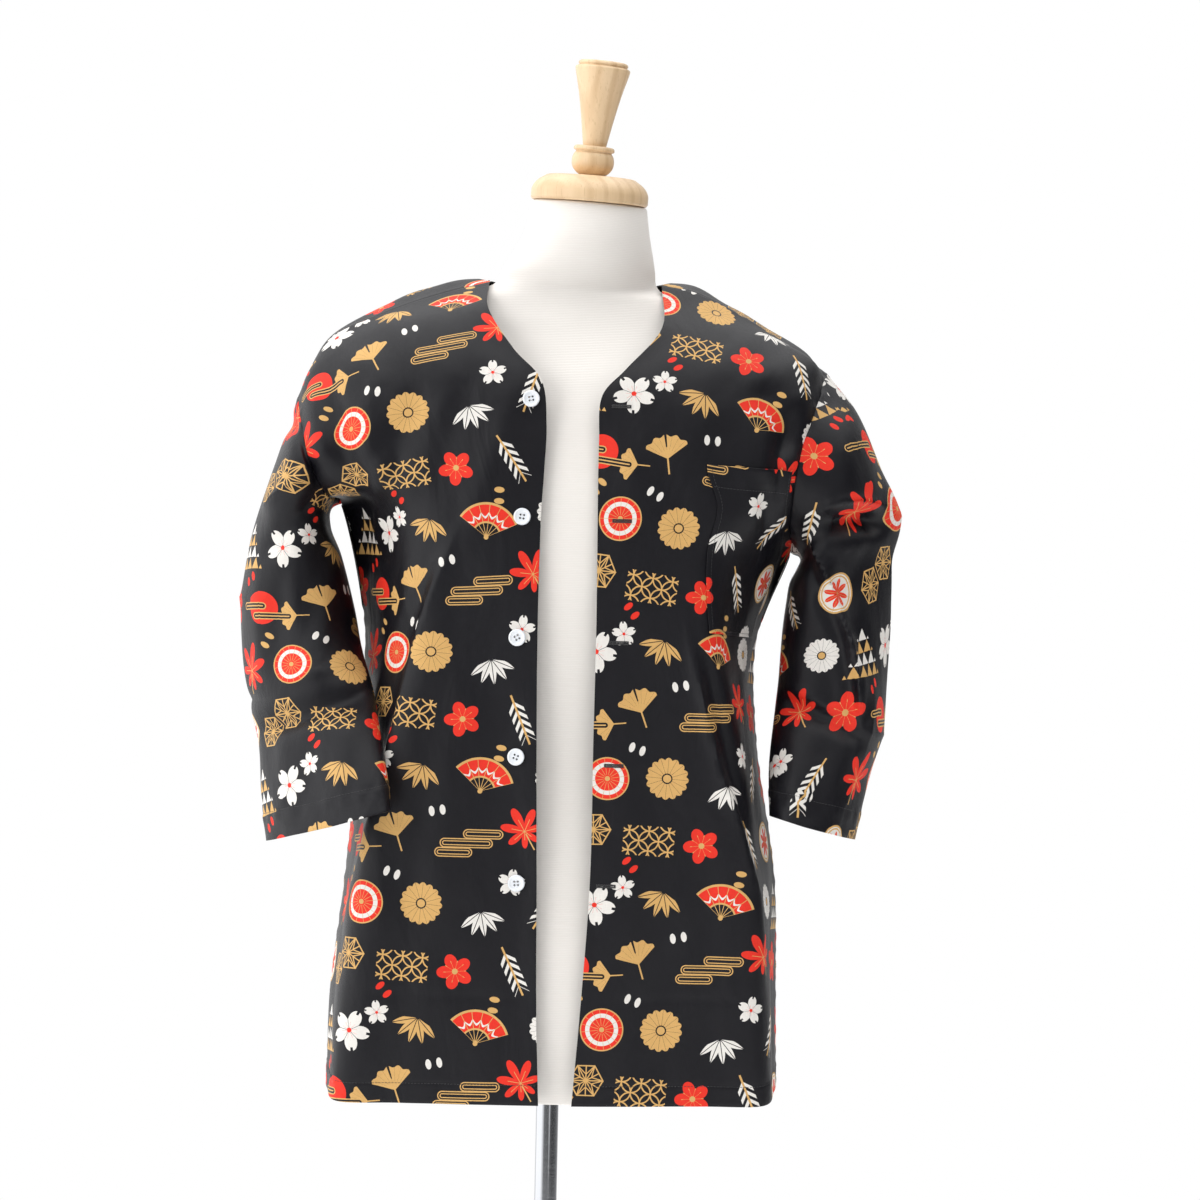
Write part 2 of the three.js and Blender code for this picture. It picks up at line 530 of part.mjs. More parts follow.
// A button's section from the middle of its underside round to its sunk face, as shares of its radius and
// thickness.
const BUTTON_PROFILE = table("radius height", [
  [0, 0], [0.86, 0], [1, 0.4], [0.96, 0.85], [0.84, 1], [0.66, 0.7], [0, 0.62],
]);

// The depth of a front's outer face at a place seen from the front.
function depthAt(grid, x, z) {
  const at = new THREE.Vector3();
  for (let i = 0; i < grid.length - 1; i++) {
    for (let j = 0; j < grid[0].length - 1; j++) {
      const [a, b, c, d] = [grid[i][j], grid[i + 1][j], grid[i + 1][j + 1], grid[i][j + 1]];
      for (const corners of [[a, b, c], [a, c, d]]) {
        const flat = corners.map((p) => vector(p.x, 0, p.z));
        const triangle = new THREE.Triangle(...flat);
        if (Math.abs(triangle.getArea()) < 1e-6) continue;
        triangle.getBarycoord(vector(x, 0, z), at);
        if (Math.min(at.x, at.y, at.z) < -1e-9) continue;
        return corners[0].y * at.x + corners[1].y * at.y + corners[2].y * at.z;
      }
    }
  }
  throw new Error("no cloth at " + x + ", " + z);
}

// A button lies on the front, tilted with it, with the gap under the part of its rim that is nearest the
// cloth.
function button(name, place) {
  const radius = BUTTON_DIAMETER / 2;
  const rim = radius * 0.9;
  const point = (dx, dz) => {
    const [x, z] = [place.x + dx, place.z + dz];
    return vector(x, depthAt(right.front, x, z), z);
  };
  const sideways = point(rim, 0).sub(point(-rim, 0));
  const outward = point(0, rim).sub(point(0, -rim)).cross(sideways).negate().normalize();
  if (outward.y > 0) outward.negate();
  const centre = point(0, 0);
  const rimHeights = [];
  for (let k = 0; k < 16; k++) {
    const angle = (k * Math.PI) / 8;
    rimHeights.push(point(radius * Math.cos(angle), radius * Math.sin(angle)).sub(centre).dot(outward));
  }
  const lift = Math.max(0, ...rimHeights) + SEAM_GAP;
  const sized = (p) => new THREE.Vector2(radius * p.radius, BUTTON_THICKNESS * p.height);
  const profile = BUTTON_PROFILE.map(sized);
  const mesh = new THREE.Mesh(new THREE.LatheGeometry(profile, 20), pearlyPlastic);
  mesh.name = name;
  mesh.quaternion.setFromUnitVectors(vector(0, 1, 0), outward);
  mesh.position.copy(centre).addScaledVector(outward, lift);
  return mesh;
}
BUTTON_PLACES.forEach((place, i) => shirt.add(button("button_" + (i + 1), place)));

// ---- The dress form -----------------------------------------------------------------------------------
const form = new THREE.Group();
const TORSO_SIDES = 28;

const roundPower = (value, round) => Math.sign(value) * Math.abs(value) ** (2 / round);

function torsoRing(r) {
  const [middle, reach] = [(r.left + r.right) / 2, (r.right - r.left) / 2];
  const lean = new THREE.Euler(NECK_LEAN.x * r.lean, NECK_LEAN.y * r.lean, 0);
  const ring = [];
  for (let k = 0; k < TORSO_SIDES; k++) {
    const angle = (2 * Math.PI * k) / TORSO_SIDES;
    const depth = Math.sin(angle) < 0 ? -r.front : r.back;
    const aside = reach * roundPower(Math.cos(angle), r.round);
    const point = vector(aside, depth * roundPower(Math.abs(Math.sin(angle)), r.round), 0);
    ring.push(point.applyEuler(lean).add(vector(middle, 0, r.z)));
  }
  return ring;
}

// A closed solid through rings, with flat ends.
function loft(name, rings, material) {
  const sides = rings[0].length;
  const centre = (ring) => ring.reduce((total, p) => total.add(p), vector(0, 0, 0)).divideScalar(sides);
  const points = [...rings.flat(), centre(rings[0]), centre(rings[rings.length - 1])];
  const [bottom, top] = [points.length - 2, points.length - 1];
  const faces = [];
  for (let k = 0; k < sides; k++) {
    const next = (k + 1) % sides;
    for (let i = 0; i < rings.length - 1; i++) {
      const [a, b] = [i * sides + k, i * sides + next];
      faces.push(a, b, b + sides, a, b + sides, a + sides);
    }
    const last = (rings.length - 1) * sides;
    faces.push(bottom, next, k, top, last + k, last + next);
  }
  return meshOf(name, points.flatMap((p) => p.toArray()), faces, material);
}
form.add(loft("torso", torsoRings.map(torsoRing), ivoryJersey));

// Turned pieces stand on +Z; a profile lists radius and height from the bottom up.
function turned(name, profile, material, sides = 24) {
  const points = [[0, profile[0][1]], ...profile, [0, profile[profile.length - 1][1]]];
  const geometry = new THREE.LatheGeometry(points.map(([r, h]) => new THREE.Vector2(r, h)), sides);
  const mesh = new THREE.Mesh(geometry.rotateX(Math.PI / 2), material);
  mesh.name = name;
  return mesh;
}

const neck = new THREE.Group();
neck.position.copy(NECK_TOP);
neck.rotation.copy(NECK_LEAN);
form.add(neck);
const CAP_BOTTOM = SEAM_GAP;
const CAP_TOP = 24;
neck.add(
  turned("neck_cap", [
    [51, CAP_BOTTOM], [52.5, CAP_BOTTOM + 4], [52, 10], [48.5, 17], [43.5, 21.5], [40, CAP_TOP],
  ], paleBirch, 32),
);
const finial = new THREE.Group();
finial.position.set(0, 0, CAP_TOP);
finial.rotation.y = FINIAL_LEAN;
neck.add(finial);
const BULB_BOTTOM = 0.8;
const BULB_TOP = 27;
const HANDLE_TOP = 103;
finial.add(
  turned("finial_bulb", [
    [10.5, BULB_BOTTOM], [14, 3], [17.5, 7], [19, 12], [18.6, 17], [17, 20.6], [16.2, 21.6], [18.3, 23],
    [18.3, 25.6], [17, BULB_TOP],
  ], paleBirch),
  turned("finial_handle", [
    [10.5, BULB_TOP + SEAM_GAP], [11.4, 32], [14.8, 52], [19.5, 75], [24.6, 95], [24.4, 97.5], [21.6, 98.4],
    [22.4, 100], [21.6, HANDLE_TOP - 0.8], [19.5, HANDLE_TOP],
  ], paleBirch),
);

const stand = new THREE.Group();
form.add(stand);
stand.add(
  turned("pole", [
    [POLE_DIAMETER / 2, BASE_HEIGHT + 26 + SEAM_GAP],
    [POLE_DIAMETER / 2, FORM_BOTTOM - SEAM_GAP],
  ], chrome),
  turned("base", [
    [BASE_DIAMETER / 2 - 2, 0], [BASE_DIAMETER / 2, 2], [BASE_DIAMETER / 2, BASE_HEIGHT - 4],
    [BASE_DIAMETER / 2 - 5, BASE_HEIGHT], [24, BASE_HEIGHT], [20, BASE_HEIGHT + 6], [18, BASE_HEIGHT + 26],
  ], chrome, 40),
);

const part = new THREE.Group();
part.add(shirt, form);
export default part;
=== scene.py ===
import math

import bmesh
import bpy
import numpy as np
from mathutils import Euler, Matrix, Vector
from mathutils.bvhtree import BVHTree


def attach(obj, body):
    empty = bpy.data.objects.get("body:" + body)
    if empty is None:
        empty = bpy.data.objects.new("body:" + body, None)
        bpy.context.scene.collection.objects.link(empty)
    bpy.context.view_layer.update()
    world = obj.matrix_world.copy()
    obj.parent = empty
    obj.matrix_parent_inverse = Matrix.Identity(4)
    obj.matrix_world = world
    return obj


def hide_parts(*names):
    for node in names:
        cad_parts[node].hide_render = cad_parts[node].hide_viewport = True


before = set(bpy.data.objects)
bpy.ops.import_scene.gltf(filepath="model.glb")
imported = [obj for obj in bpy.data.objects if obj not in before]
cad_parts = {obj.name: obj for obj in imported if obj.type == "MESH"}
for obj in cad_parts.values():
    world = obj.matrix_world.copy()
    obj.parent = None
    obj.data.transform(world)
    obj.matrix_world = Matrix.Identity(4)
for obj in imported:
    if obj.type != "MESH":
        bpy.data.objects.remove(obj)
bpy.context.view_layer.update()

# ---- The stand ----------------------------------------------------------------------------------------
# A turned steel base with a hub, and a drawn steel tube that stands in it. Both are polished and
# chromed; the tube is pushed into the hub and up to the underside of the body.
MM = 0.001


def finished(name, bm, slot, materials, *nodes):
    """A mesh as a piece of the object, which stands for these nodes of the frame."""
    mesh = bpy.data.meshes.new(name)
    bm.to_mesh(mesh)
    bm.free()
    for material in materials:
        mesh.materials.append(material)
    mesh.shade_smooth()
    made = bpy.data.objects.new(name, mesh)
    bpy.context.scene.collection.objects.link(made)
    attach(made, "root")
    if nodes:
        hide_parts(*nodes)
    return made


def turned(profile, steps, place=Matrix()):
    """A solid turned about Z from a profile of (radius, height) in millimetres, from the bottom up."""
    bm = bmesh.new()
    points = [(0, profile[0][1]), *profile, (0, profile[-1][1])]
    line = [bm.verts.new((radius * MM, 0, height * MM)) for radius, height in points]
    edges = [bm.edges.new(pair) for pair in zip(line, line[1:])]
    bmesh.ops.spin(
        bm, geom=line + edges, cent=(0, 0, 0), axis=(0, 0, 1), angle=math.tau, steps=steps, use_merge=True
    )
    bmesh.ops.remove_doubles(bm, verts=bm.verts, dist=1e-6)
    bmesh.ops.recalc_face_normals(bm, faces=bm.faces)
    bmesh.ops.transform(bm, matrix=place, verts=bm.verts)
    return bm


def add(tree, kind, inputs={}, **settings):
    """A shader node of this kind. Each input is a value, or the output of another node."""
    made = tree.nodes.new("ShaderNode" + kind)
    for name, value in settings.items():
        setattr(made, name, value)
    for name, value in inputs.items():
        if isinstance(value, bpy.types.NodeSocket):
            tree.links.new(value, made.inputs[name])
        else:
            made.inputs[name].default_value = value
    return made


def new_material(name, **settings):
    """A material, its nodes and its shader, with the values that are the same all over it."""
    material = bpy.data.materials.new(name)
    material.use_nodes = True
    shader = material.node_tree.nodes["Principled BSDF"]
    for key, value in settings.items():
        shader.inputs[key.replace("_", " ").title().replace("Ior", "IOR")].default_value = value
    return material, material.node_tree, shader


def mixed(tree, share, one, other):
    """One colour turning into another by a share."""
    return add(tree, "Mix", {0: share, 6: one, 7: other}, data_type="RGBA").outputs[2]


chrome, tree, shader = new_material("polished_chrome", metallic=1.0)
place = add(tree, "TexCoord").outputs["Object"]
drawn = add(tree, "Mapping", {"Vector": place, "Scale": (90, 90, 900)}).outputs[0]
wear = add(tree, "TexNoise", {"Vector": drawn, "Scale": 1.0, "Detail": 3.0}).outputs["Fac"]
cloud = add(tree, "TexNoise", {"Vector": place, "Scale": 18.0, "Detail": 2.0}).outputs["Fac"]
tint = mixed(tree, cloud, (0.47, 0.48, 0.51, 1), (0.54, 0.55, 0.57, 1))
rough = add(tree, "MapRange", {"Value": wear, 3: 0.05, 4: 0.16}).outputs[0]
tree.links.new(tint, shader.inputs["Base Color"])
tree.links.new(rough, shader.inputs["Roughness"])

base_profile = [
    (157, 0), (158.6, 0.6), (159.6, 2), (160, 4), (160, 9), (159.4, 11.6), (157.6, 13.3), (155, 14),
    (27, 14), (25, 14.3), (24, 15.4), (20.6, 19.6), (19.6, 21.5), (18.6, 38), (18, 39.6), (16.6, 40),
]
base = finished("stand_base", turned(base_profile, 128), "chrome", [chrome], "base")
pole_profile = [(9.4, 40.3), (10, 40.9), (10, 663.1), (9.4, 663.7)]
pole = finished("stand_pole", turned(pole_profile, 64), "chrome", [chrome], "pole")
for part in (base, pole):
    part.data.set_sharp_from_angle(angle=math.radians(35))

# ---- The dress form's body ----------------------------------------------------------------------------
# A padded body and neck without limbs, cut flat at the hip and at the neck. A fine ivory jersey is drawn
# over it, knitted in level courses, and tucked under at the bottom.


def smooth(points, stations):
    """Points along the smooth curves through these points, at stations counted from point to point."""
    points = np.asarray(points, float)
    stations = np.asarray(stations, float)
    steps = points[1:] - points[:-1]
    spans = np.sqrt(np.maximum(np.linalg.norm(steps, axis=-1, keepdims=True), 1e-9))
    speeds = steps / spans
    inner = (speeds[:-1] * spans[1:] + speeds[1:] * spans[:-1]) / (spans[:-1] + spans[1:])
    tangents = np.concatenate([speeds[:1], inner, speeds[-1:]])
    knots = np.minimum(stations.astype(int), len(points) - 2)
    t = (stations - knots).reshape(-1, *[1] * (points.ndim - 1))
    rise = t * t * (3 - 2 * t)
    made = points[knots] * (1 - rise) + points[knots + 1] * rise
    made += tangents[knots] * spans[knots] * t * (1 - t) ** 2
    return made + tangents[knots + 1] * spans[knots] * t * t * (t - 1)


def grid_mesh(points, uv=None):
    """A grid of faces on rows and columns of points in millimetres, with its cut's places as its UV."""
    rows, columns = points.shape[:2]
    bm = bmesh.new()
    bmesh.ops.create_grid(bm, x_segments=columns - 1, y_segments=rows - 1, size=1)
    for vertex, point in zip(bm.verts, points.reshape(-1, 3)):
        vertex.co = point * MM
    if uv is not None:
        bm.verts.index_update()
        layer = bm.loops.layers.uv.new("cut")
        flat = uv.reshape(-1, 2) * MM
        for face in bm.faces:
            for loop in face.loops:
                loop[layer].uv = flat[loop.vert.index]
    return bm


def torso_ring(z, left, right, front, back, lean, roundness):
    """One ring of the body, seen from above."""
    angle = np.linspace(0, math.tau, 113)
    depth = np.where(np.sin(angle) < 0, -front, back) * np.abs(np.sin(angle)) ** (2 / roundness)
    aside = (right - left) / 2 * np.sign(np.cos(angle)) * np.abs(np.cos(angle)) ** (2 / roundness)
    turn = np.array(Euler((math.radians(3) * lean, math.radians(3.3) * lean, 0)).to_matrix())
    ring = np.stack([aside, depth, np.zeros_like(aside)], axis=1) @ turn.T
    return ring + ((left + right) / 2, 0, z)


# Height, left and right side, front and back depth, lean of the neck, roundness
torso_rings = np.array([torso_ring(*row) for row in [
    (664, -138, 144, 88, 84, 0, 2.2),
    (720, -152, 158, 94, 92, 0, 2.2),
    (800, -158, 166, 97, 97, 0, 2.2),
    (880, -150, 160, 95, 90, 0, 2.2),
    (960, -140, 152, 94, 80, 0, 2.2),
    (1040, -146, 160, 100, 82, 0, 2.2),
    (1110, -154, 170, 106, 88, 0, 2.2),
    (1170, -160, 178, 107, 93, 0, 2.2),
    (1225, -168, 187, 102, 94, 0, 2.2),
    (1270, -180, 196, 90, 88, 0, 2.1),
    (1300, -188, 202, 76, 76, 0, 2),
    (1322, -190, 200, 62, 64, 0, 1.9),
    (1340, -184, 186, 52, 56, 0, 1.75),
    (1354, -171, 172, 46, 52, 0, 1.65),
    (1366, -142, 154, 42, 50, 0, 1.6),
    (1375, -111, 127, 41, 45, 0, 1.6),
    (1383, -77, 88, 42, 40, 0, 1.7),
    (1390, -61, 82, 46, 41, 0, 1.9),
    (1401, -56, 81, 51, 49, 0.1, 2),
    (1415, -47, 79, 54, 52, 0.3, 2.1),
    (1436, -36, 75.5, 56, 50, 0.7, 2.1),
    (1461.6, -31.5, 72.5, 52, 52, 1, 2),
]])
bm = grid_mesh(smooth(torso_rings, np.arange(0, 21.01, 0.25)))
bmesh.ops.remove_doubles(bm, verts=bm.verts, dist=1e-5)
bmesh.ops.holes_fill(bm, edges=[edge for edge in bm.edges if edge.is_boundary], sides=0)
bmesh.ops.recalc_face_normals(bm, faces=bm.faces)
rims = [edge for edge in bm.edges if any(len(face.verts) > 4 for face in edge.link_faces)]
bmesh.ops.bevel(
    bm, geom=rims, offset=2.5 * MM, offset_type="OFFSET", segments=3, profile=0.5, affect="EDGES", material=-1
)

jersey, tree, shader = new_material("ivory_jersey", roughness=0.9, sheen_weight=0.25, sheen_roughness=0.5)
place = add(tree, "TexCoord").outputs["Object"]
courses = add(
    tree, "TexWave", {"Vector": place, "Scale": 210.0, "Distortion": 1.2, "Detail": 2.0, "Detail Scale": 1.5},
    bands_direction="Z",
).outputs["Fac"]
fuzz = add(tree, "TexNoise", {"Vector": place, "Scale": 900.0, "Detail": 2.0}).outputs["Fac"]
cloud = add(tree, "TexNoise", {"Vector": place, "Scale": 9.0, "Detail": 2.0}).outputs["Fac"]
tone = mixed(tree, cloud, (0.83, 0.79, 0.745, 1), (0.88, 0.845, 0.8, 1))
shade = add(tree, "MapRange", {"Value": courses, 3: 0.955, 4: 1.0}).outputs[0]
tone = add(tree, "VectorMath", {0: tone, "Scale": shade}, operation="SCALE").outputs[0]
height = add(tree, "Math", {0: courses, 1: fuzz}, operation="ADD").outputs[0]
knit = add(tree, "Bump", {"Height": height, "Strength": 0.35, "Distance": 0.0003}).outputs[0]
tree.links.new(tone, shader.inputs["Base Color"])
tree.links.new(knit, shader.inputs["Normal"])
torso = finished("form_body", bm, "form_cover", [jersey], "torso")
torso.data.set_sharp_from_angle(angle=math.radians(50))

# ---- The neck cap and the finial ----------------------------------------------------------------------
# Turned birch: a domed cap screwed on the neck, a round bulb on it, and a tapered handle to lift the form
# by. They are turned on a lathe, sanded and given a satin lacquer.
lean = Euler((math.radians(3), math.radians(3.3), 0)).to_matrix().to_4x4()
neck = Matrix.Translation(Vector((20.5, -4, 1461.6)) * MM) @ lean
finial = neck @ Matrix.Translation((0, 0, 24 * MM)) @ Matrix.Rotation(math.radians(1.8), 4, "Y")

birch, tree, shader = new_material(
    "pale_birch", coat_weight=0.25, coat_roughness=0.25, specular_ior_level=0.4
)
place = add(tree, "TexCoord").outputs["Object"]
upright = add(
    tree, "Mapping", {"Vector": place, "Rotation": (0, math.radians(-4), 0), "Scale": (1, 1, 0.06)}
).outputs[0]
pores = add(
    tree, "TexNoise", {"Vector": upright, "Scale": 620.0, "Detail": 4.0, "Roughness": 0.6}
).outputs["Fac"]
figure = add(
    tree, "TexNoise", {"Vector": upright, "Scale": 70.0, "Detail": 3.0, "Distortion": 0.6}
).outputs["Fac"]
rings = add(
    tree, "TexWave",
    {"Vector": upright, "Scale": 34.0, "Distortion": 5.0, "Detail": 2.0, "Detail Scale": 0.6},
    bands_direction="DIAGONAL",
).outputs["Fac"]
grain = mixed(tree, figure, (0.68, 0.465, 0.26, 1), (0.86, 0.65, 0.41, 1))
late = add(tree, "MapRange", {"Value": rings, 1: 0.55, 2: 1.0, 3: 0.0, 4: 0.32}).outputs[0]
grain = mixed(tree, late, grain, (0.52, 0.31, 0.14, 1))
dark = add(tree, "MapRange", {"Value": pores, 1: 0.56, 2: 0.72, 3: 0.0, 4: 0.35}).outputs[0]
grain = mixed(tree, dark, grain, (0.42, 0.24, 0.105, 1))
rough = add(tree, "MapRange", {"Value": pores, 3: 0.34, 4: 0.5}).outputs[0]
relief = add(tree, "Bump", {"Height": pores, "Strength": 0.25, "Distance": 0.0002}).outputs[0]
tree.links.new(grain, shader.inputs["Base Color"])
tree.links.new(rough, shader.inputs["Roughness"])
tree.links.new(relief, shader.inputs["Normal"])


def rounded_profile(points, steps):
    """A profile drawn smooth through its points."""
    return [tuple(point) for point in smooth(points, np.arange(0, len(points) - 0.999, 1 / steps))]


cap_side = rounded_profile(
    [(52.5, 2.4), (52.6, 5.5), (52.4, 10), (50.4, 14.6), (46.6, 18.8), (41.4, 22.2)], 4
)
cap_profile = [(50, 0.32), (51.4, 0.6), *cap_side, (40, 23.2), (38, 23.8), (36, 24)]
cap = finished("neck_cap_turned", turned(cap_profile, 112, neck), "pale_wood", [birch], "neck_cap")

bulb_low = rounded_profile(
    [(10.5, 0.8), (14, 3), (17.5, 7), (18.9, 11), (18.8, 16), (17.6, 19.6), (16.6, 21)], 4
)
bulb_top = [
    (16.1, 21.7), (16.4, 22.5), (17.6, 22.8), (18.3, 23.5), (18.4, 24.4), (18.3, 25.4), (17.4, 26.6),
    (16.6, 27),
]
bulb = finished(
    "finial_bulb_turned", turned([*bulb_low, *bulb_top], 80, finial), "pale_wood", [birch], "finial_bulb"
)

handle_side = rounded_profile([(10.5, 27.4), (11.3, 32), (14.8, 52), (19.5, 75), (23.6, 91), (24.5, 95)], 4)
handle_top = [
    (24.6, 96.4), (24, 97.4), (22.6, 98), (21.6, 98.7), (21.6, 99.2), (22.3, 99.8), (22.4, 100.9),
    (21.6, 102.1), (20.4, 102.8), (19, 103),
]
handle = finished(
    "finial_handle_turned", turned([*handle_side, *handle_top], 80, finial), "pale_wood", [birch],
    "finial_handle",
)
for part in (cap, bulb, handle):
    part.data.set_sharp_from_angle(angle=math.radians(48))

# ---- The printed cotton -------------------------------------------------------------------------------
# Plain-weave cotton, piece-dyed near black, and screen-printed in gold, ivory and red before it is cut.
# Traditional flowers, leaves, fans and geometric patterns repeat every 266 by 222 mm.
REPEAT = (266, 222)
GOLD, IVORY, RED = (0.665, 0.395, 0.135, 1), (0.80, 0.77, 0.725, 1), (0.80, 0.03, 0.014, 1)
printing = bpy.data.node_groups.new("screen_print", "ShaderNodeTree")
printing.interface.new_socket("Place", in_out="INPUT", socket_type="NodeSocketVector")
printing.interface.new_socket("Ink", in_out="OUTPUT", socket_type="NodeSocketColor")
printing.interface.new_socket("Printed", in_out="OUTPUT", socket_type="NodeSocketFloat")
cut_place = printing.nodes.new("NodeGroupInput").outputs["Place"]


class Field:
    """A number that changes over the cloth, which can be worked with as numbers are."""

    def __init__(self, socket):
        self.socket = socket

    def work(self, operation, *others):
        values = [other.socket if isinstance(other, Field) else other for other in others]
        node = add(printing, "Math", dict(enumerate([self.socket, *values])), operation=operation)
        return Field(node.outputs[0])

    def __add__(self, other):
        return self.work("ADD", other)

    def __sub__(self, other):
        return self.work("SUBTRACT", other)

    def __mul__(self, other):
        return self.work("MULTIPLY", other)

    def __abs__(self):
        return self.work("ABSOLUTE")

    def __lt__(self, other):
        return self.work("LESS_THAN", other)

    def __gt__(self, other):
        return self.work("GREATER_THAN", other)

    def __and__(self, other):
        return self.work("MULTIPLY", other)

    def __or__(self, other):
        return self.work("MAXIMUM", other)

    def near(self, value, reach):
        return self.work("COMPARE", value, reach)

    def sin(self):
        return self.work("SINE")

    def cos(self):
        return self.work("COSINE")

    def bounce(self, length):
        return self.work("PINGPONG", length)


def motif(x, y, degrees=0, size=1.0):
    """The places in and around one motif: across, up, distance from its middle, and angle round it."""
    high = (x + REPEAT[0] / 2, y + REPEAT[1] / 2, 1)
    low = (x - REPEAT[0] / 2, y - REPEAT[1] / 2, -1)
    wrapped = add(printing, "VectorMath", {0: cut_place, 1: high, 2: low}, operation="WRAP").outputs[0]
    turned_place = add(
        printing, "Mapping",
        {
            "Vector": wrapped, "Location": (x, y, 0), "Rotation": (0, 0, math.radians(degrees)),
            "Scale": (size,) * 3,
        },
        vector_type="TEXTURE",
    ).outputs[0]
    parts = add(printing, "SeparateXYZ", {0: turned_place}).outputs
    across, up = Field(parts[0]), Field(parts[1])
    away = Field(add(printing, "VectorMath", {0: turned_place}, operation="LENGTH").outputs["Value"])
    return across, up, away, up.work("ARCTAN2", across)


STRAIGHT_UP = math.pi / 2
BARE = (0, 0, 0, 1)
ink = add(printing, "RGB").outputs[0]
ink.default_value = BARE


def print_ink(colour, mask):
    """Prints a colour over what is printed so far."""
    global ink
    ink = mixed(printing, mask.socket, ink, colour)


def pill(across, up, x, y, half):
    """The distance from a level line of some half length, for cloud and haze bands."""
    past = (abs(across - x) - half).work("MAXIMUM", 0)
    return (past * past + (up - y) * (up - y)).work("SQRT")


# Plum blossom: five round petals, stamens and a gold heart
for x, y, turn, size in [(27, 30, 12, 1.35), (190, 133, 40, 1.15)]:
    across, up, away, angle = motif(x, y, turn, size)
    petals = abs((angle * 2.5).cos())
    print_ink(RED, away < petals * 6.2 + 7.6)
    rays = abs((angle * 5).sin()) * away
    print_ink(GOLD, ((rays < 0.4) & (away < 7.2)) | ((rays < 1.1) & away.near(7.8, 0.8)) | (away < 2.2))

# Cherry blossom: five notched ivory petals with a red heart
for x, y, turn, size in [(98, 80, -10, 1.35), (122, 96, 25, 0.8), (238, 212, 10, 0.9)]:
    across, up, away, angle = motif(x, y, turn, size)
    waves = (angle * 2.5).cos()
    notch = (abs(waves) > 0.985) & (away > 11.2)
    print_ink(IVORY, (away < abs(waves) * 7 + 6.6) & (notch < 0.5) & ((abs(waves) * away < 0.35) < 0.5))
    print_ink(RED, (away < 1.6) | ((abs((angle * 5).cos()) * away < 0.3) & (away < 5.4)))

# Chrysanthemum: sixteen gold petals round a button
for x, y, turn, size, colour in [(160, 192, 6, 1.3, GOLD), (5, 84, 0, 1.1, IVORY)]:
    across, up, away, angle = motif(x, y, turn, size)
    between = abs((angle * 8).cos()) * away
    petals = (away < abs((angle * 8).sin()) * 1.7 + 12.6) & (between > 0.6) & (away > 3.6)
    print_ink(colour, petals)
    print_ink(GOLD, away < 2.7)

# Maple leaf: seven red lobes, gold veins and a stalk
for x, y, turn, size in [(56, 190, -22, 1.35), (248, 36, 30, 1.15)]:
    across, up, away, angle = motif(x, y, turn, size)
    lobes = abs(((angle - STRAIGHT_UP) * 3.5).cos())
    leaf = away < (lobes.work("POWER", 1.3) * 12 + 5.6) * (angle.sin() * 0.2 + 0.92)
    print_ink(RED, leaf)
    veins = (abs(((angle - STRAIGHT_UP) * 3.5).sin()) * away < 0.7) & (away < 10) & (up > -6)
    print_ink(GOLD, veins | ((abs(across) < 0.5) & up.near(-9, 7)))

# Ginkgo leaves: a gold fan with a notch and fine veins
for x, y, turn, size in [(138, 28, 18, 1.3), (114, 18, 95, 1.0)]:
    across, up, away, angle = motif(x, y, turn, size)
    tilt = abs(angle - STRAIGHT_UP)
    edge = away < ((tilt * 14).cos() * 0.8 + 16)
    veins = (abs((tilt * 11).sin()) * away < 0.42) & (away > 6)
    blade = edge & (tilt < 1.02) & (veins < 0.5) & (((tilt < 0.05) & (away > 8)) < 0.5)
    print_ink(GOLD, blade | ((abs(across) < 0.55) & up.near(-5, 5.5)))

# Folding fan: red leaf, gold ribs and rim, ivory zigzag
across, up, away, angle = motif(208, 70, -14, 1.3)
tilt = abs(angle - STRAIGHT_UP)
folds = (tilt * 9).sin()
inside = tilt < 1.05
print_ink(RED, inside & away.near(16, 6.2))
print_ink(IVORY, inside & (abs(away - 16 + abs(folds) * 3) < 0.8))
ribs = (abs(folds) * away < 1.9) & (away < 22)
print_ink(GOLD, inside & (ribs | away.near(22.2, 0.8) | away.near(9.8, 0.6)))
print_ink(GOLD, away < 1.6)

# Temari ball: an ivory ball wound in gold, with a red star and a belt
across, up, away, angle = motif(26, 137, 20, 1.3)
print_ink(IVORY, away < 14)
print_ink(RED, away < abs((angle * 4).cos()) * 7 + 3)
windings = (abs((angle * 4).sin()) * away < 0.5) & (away < 13)
print_ink(GOLD, away.near(11.6, 0.5) | away.near(13.5, 0.6) | windings)

# Parasol from above: red paper on gold ribs, with an ivory ring
across, up, away, angle = motif(108, 192, 8, 1.25)
print_ink(RED, away < 15)
print_ink(IVORY, away.near(10, 1.5))
print_ink(GOLD, (abs((angle * 8).sin()) * away < 1.1) & (away < 15) & (away > 2.6))
print_ink(GOLD, away.near(14.7, 0.45) | (away < 1.8))

# Hemp leaf: a six-pointed star of gold lines in a hexagon
for x, y in [(70, 132), (96, 147)]:
    across, up, away, angle = motif(x, y, 0, 1.0)
    sector = (angle + math.tau).bounce(math.pi / 6)
    along, aside = sector.cos() * away, sector.sin() * away
    outwards = along * 0.866 + aside * 0.5
    lines = (aside < 0.5) | ((along * 0.5 - aside * 0.866) < 0.5) | (abs(outwards - 13) < 0.55)
    star = abs(along * 0.27 + aside * 0.962 - 4.05) < 0.45
    print_ink(GOLD, (lines | star) & (outwards < 13.6))

# Linked circles in two rows
across, up, away, angle = motif(144, 137, -4, 1.25)
links = None
for shift in (0, 7):
    column, row = (across + (shift + 140)).bounce(7), (up + (shift + 140)).bounce(7)
    circle = abs((column * column + row * row).work("SQRT") - 7) < 0.5
    links = circle if links is None else links | circle
print_ink(GOLD, links & (abs(across) < 18) & (abs(up) < 10.5))

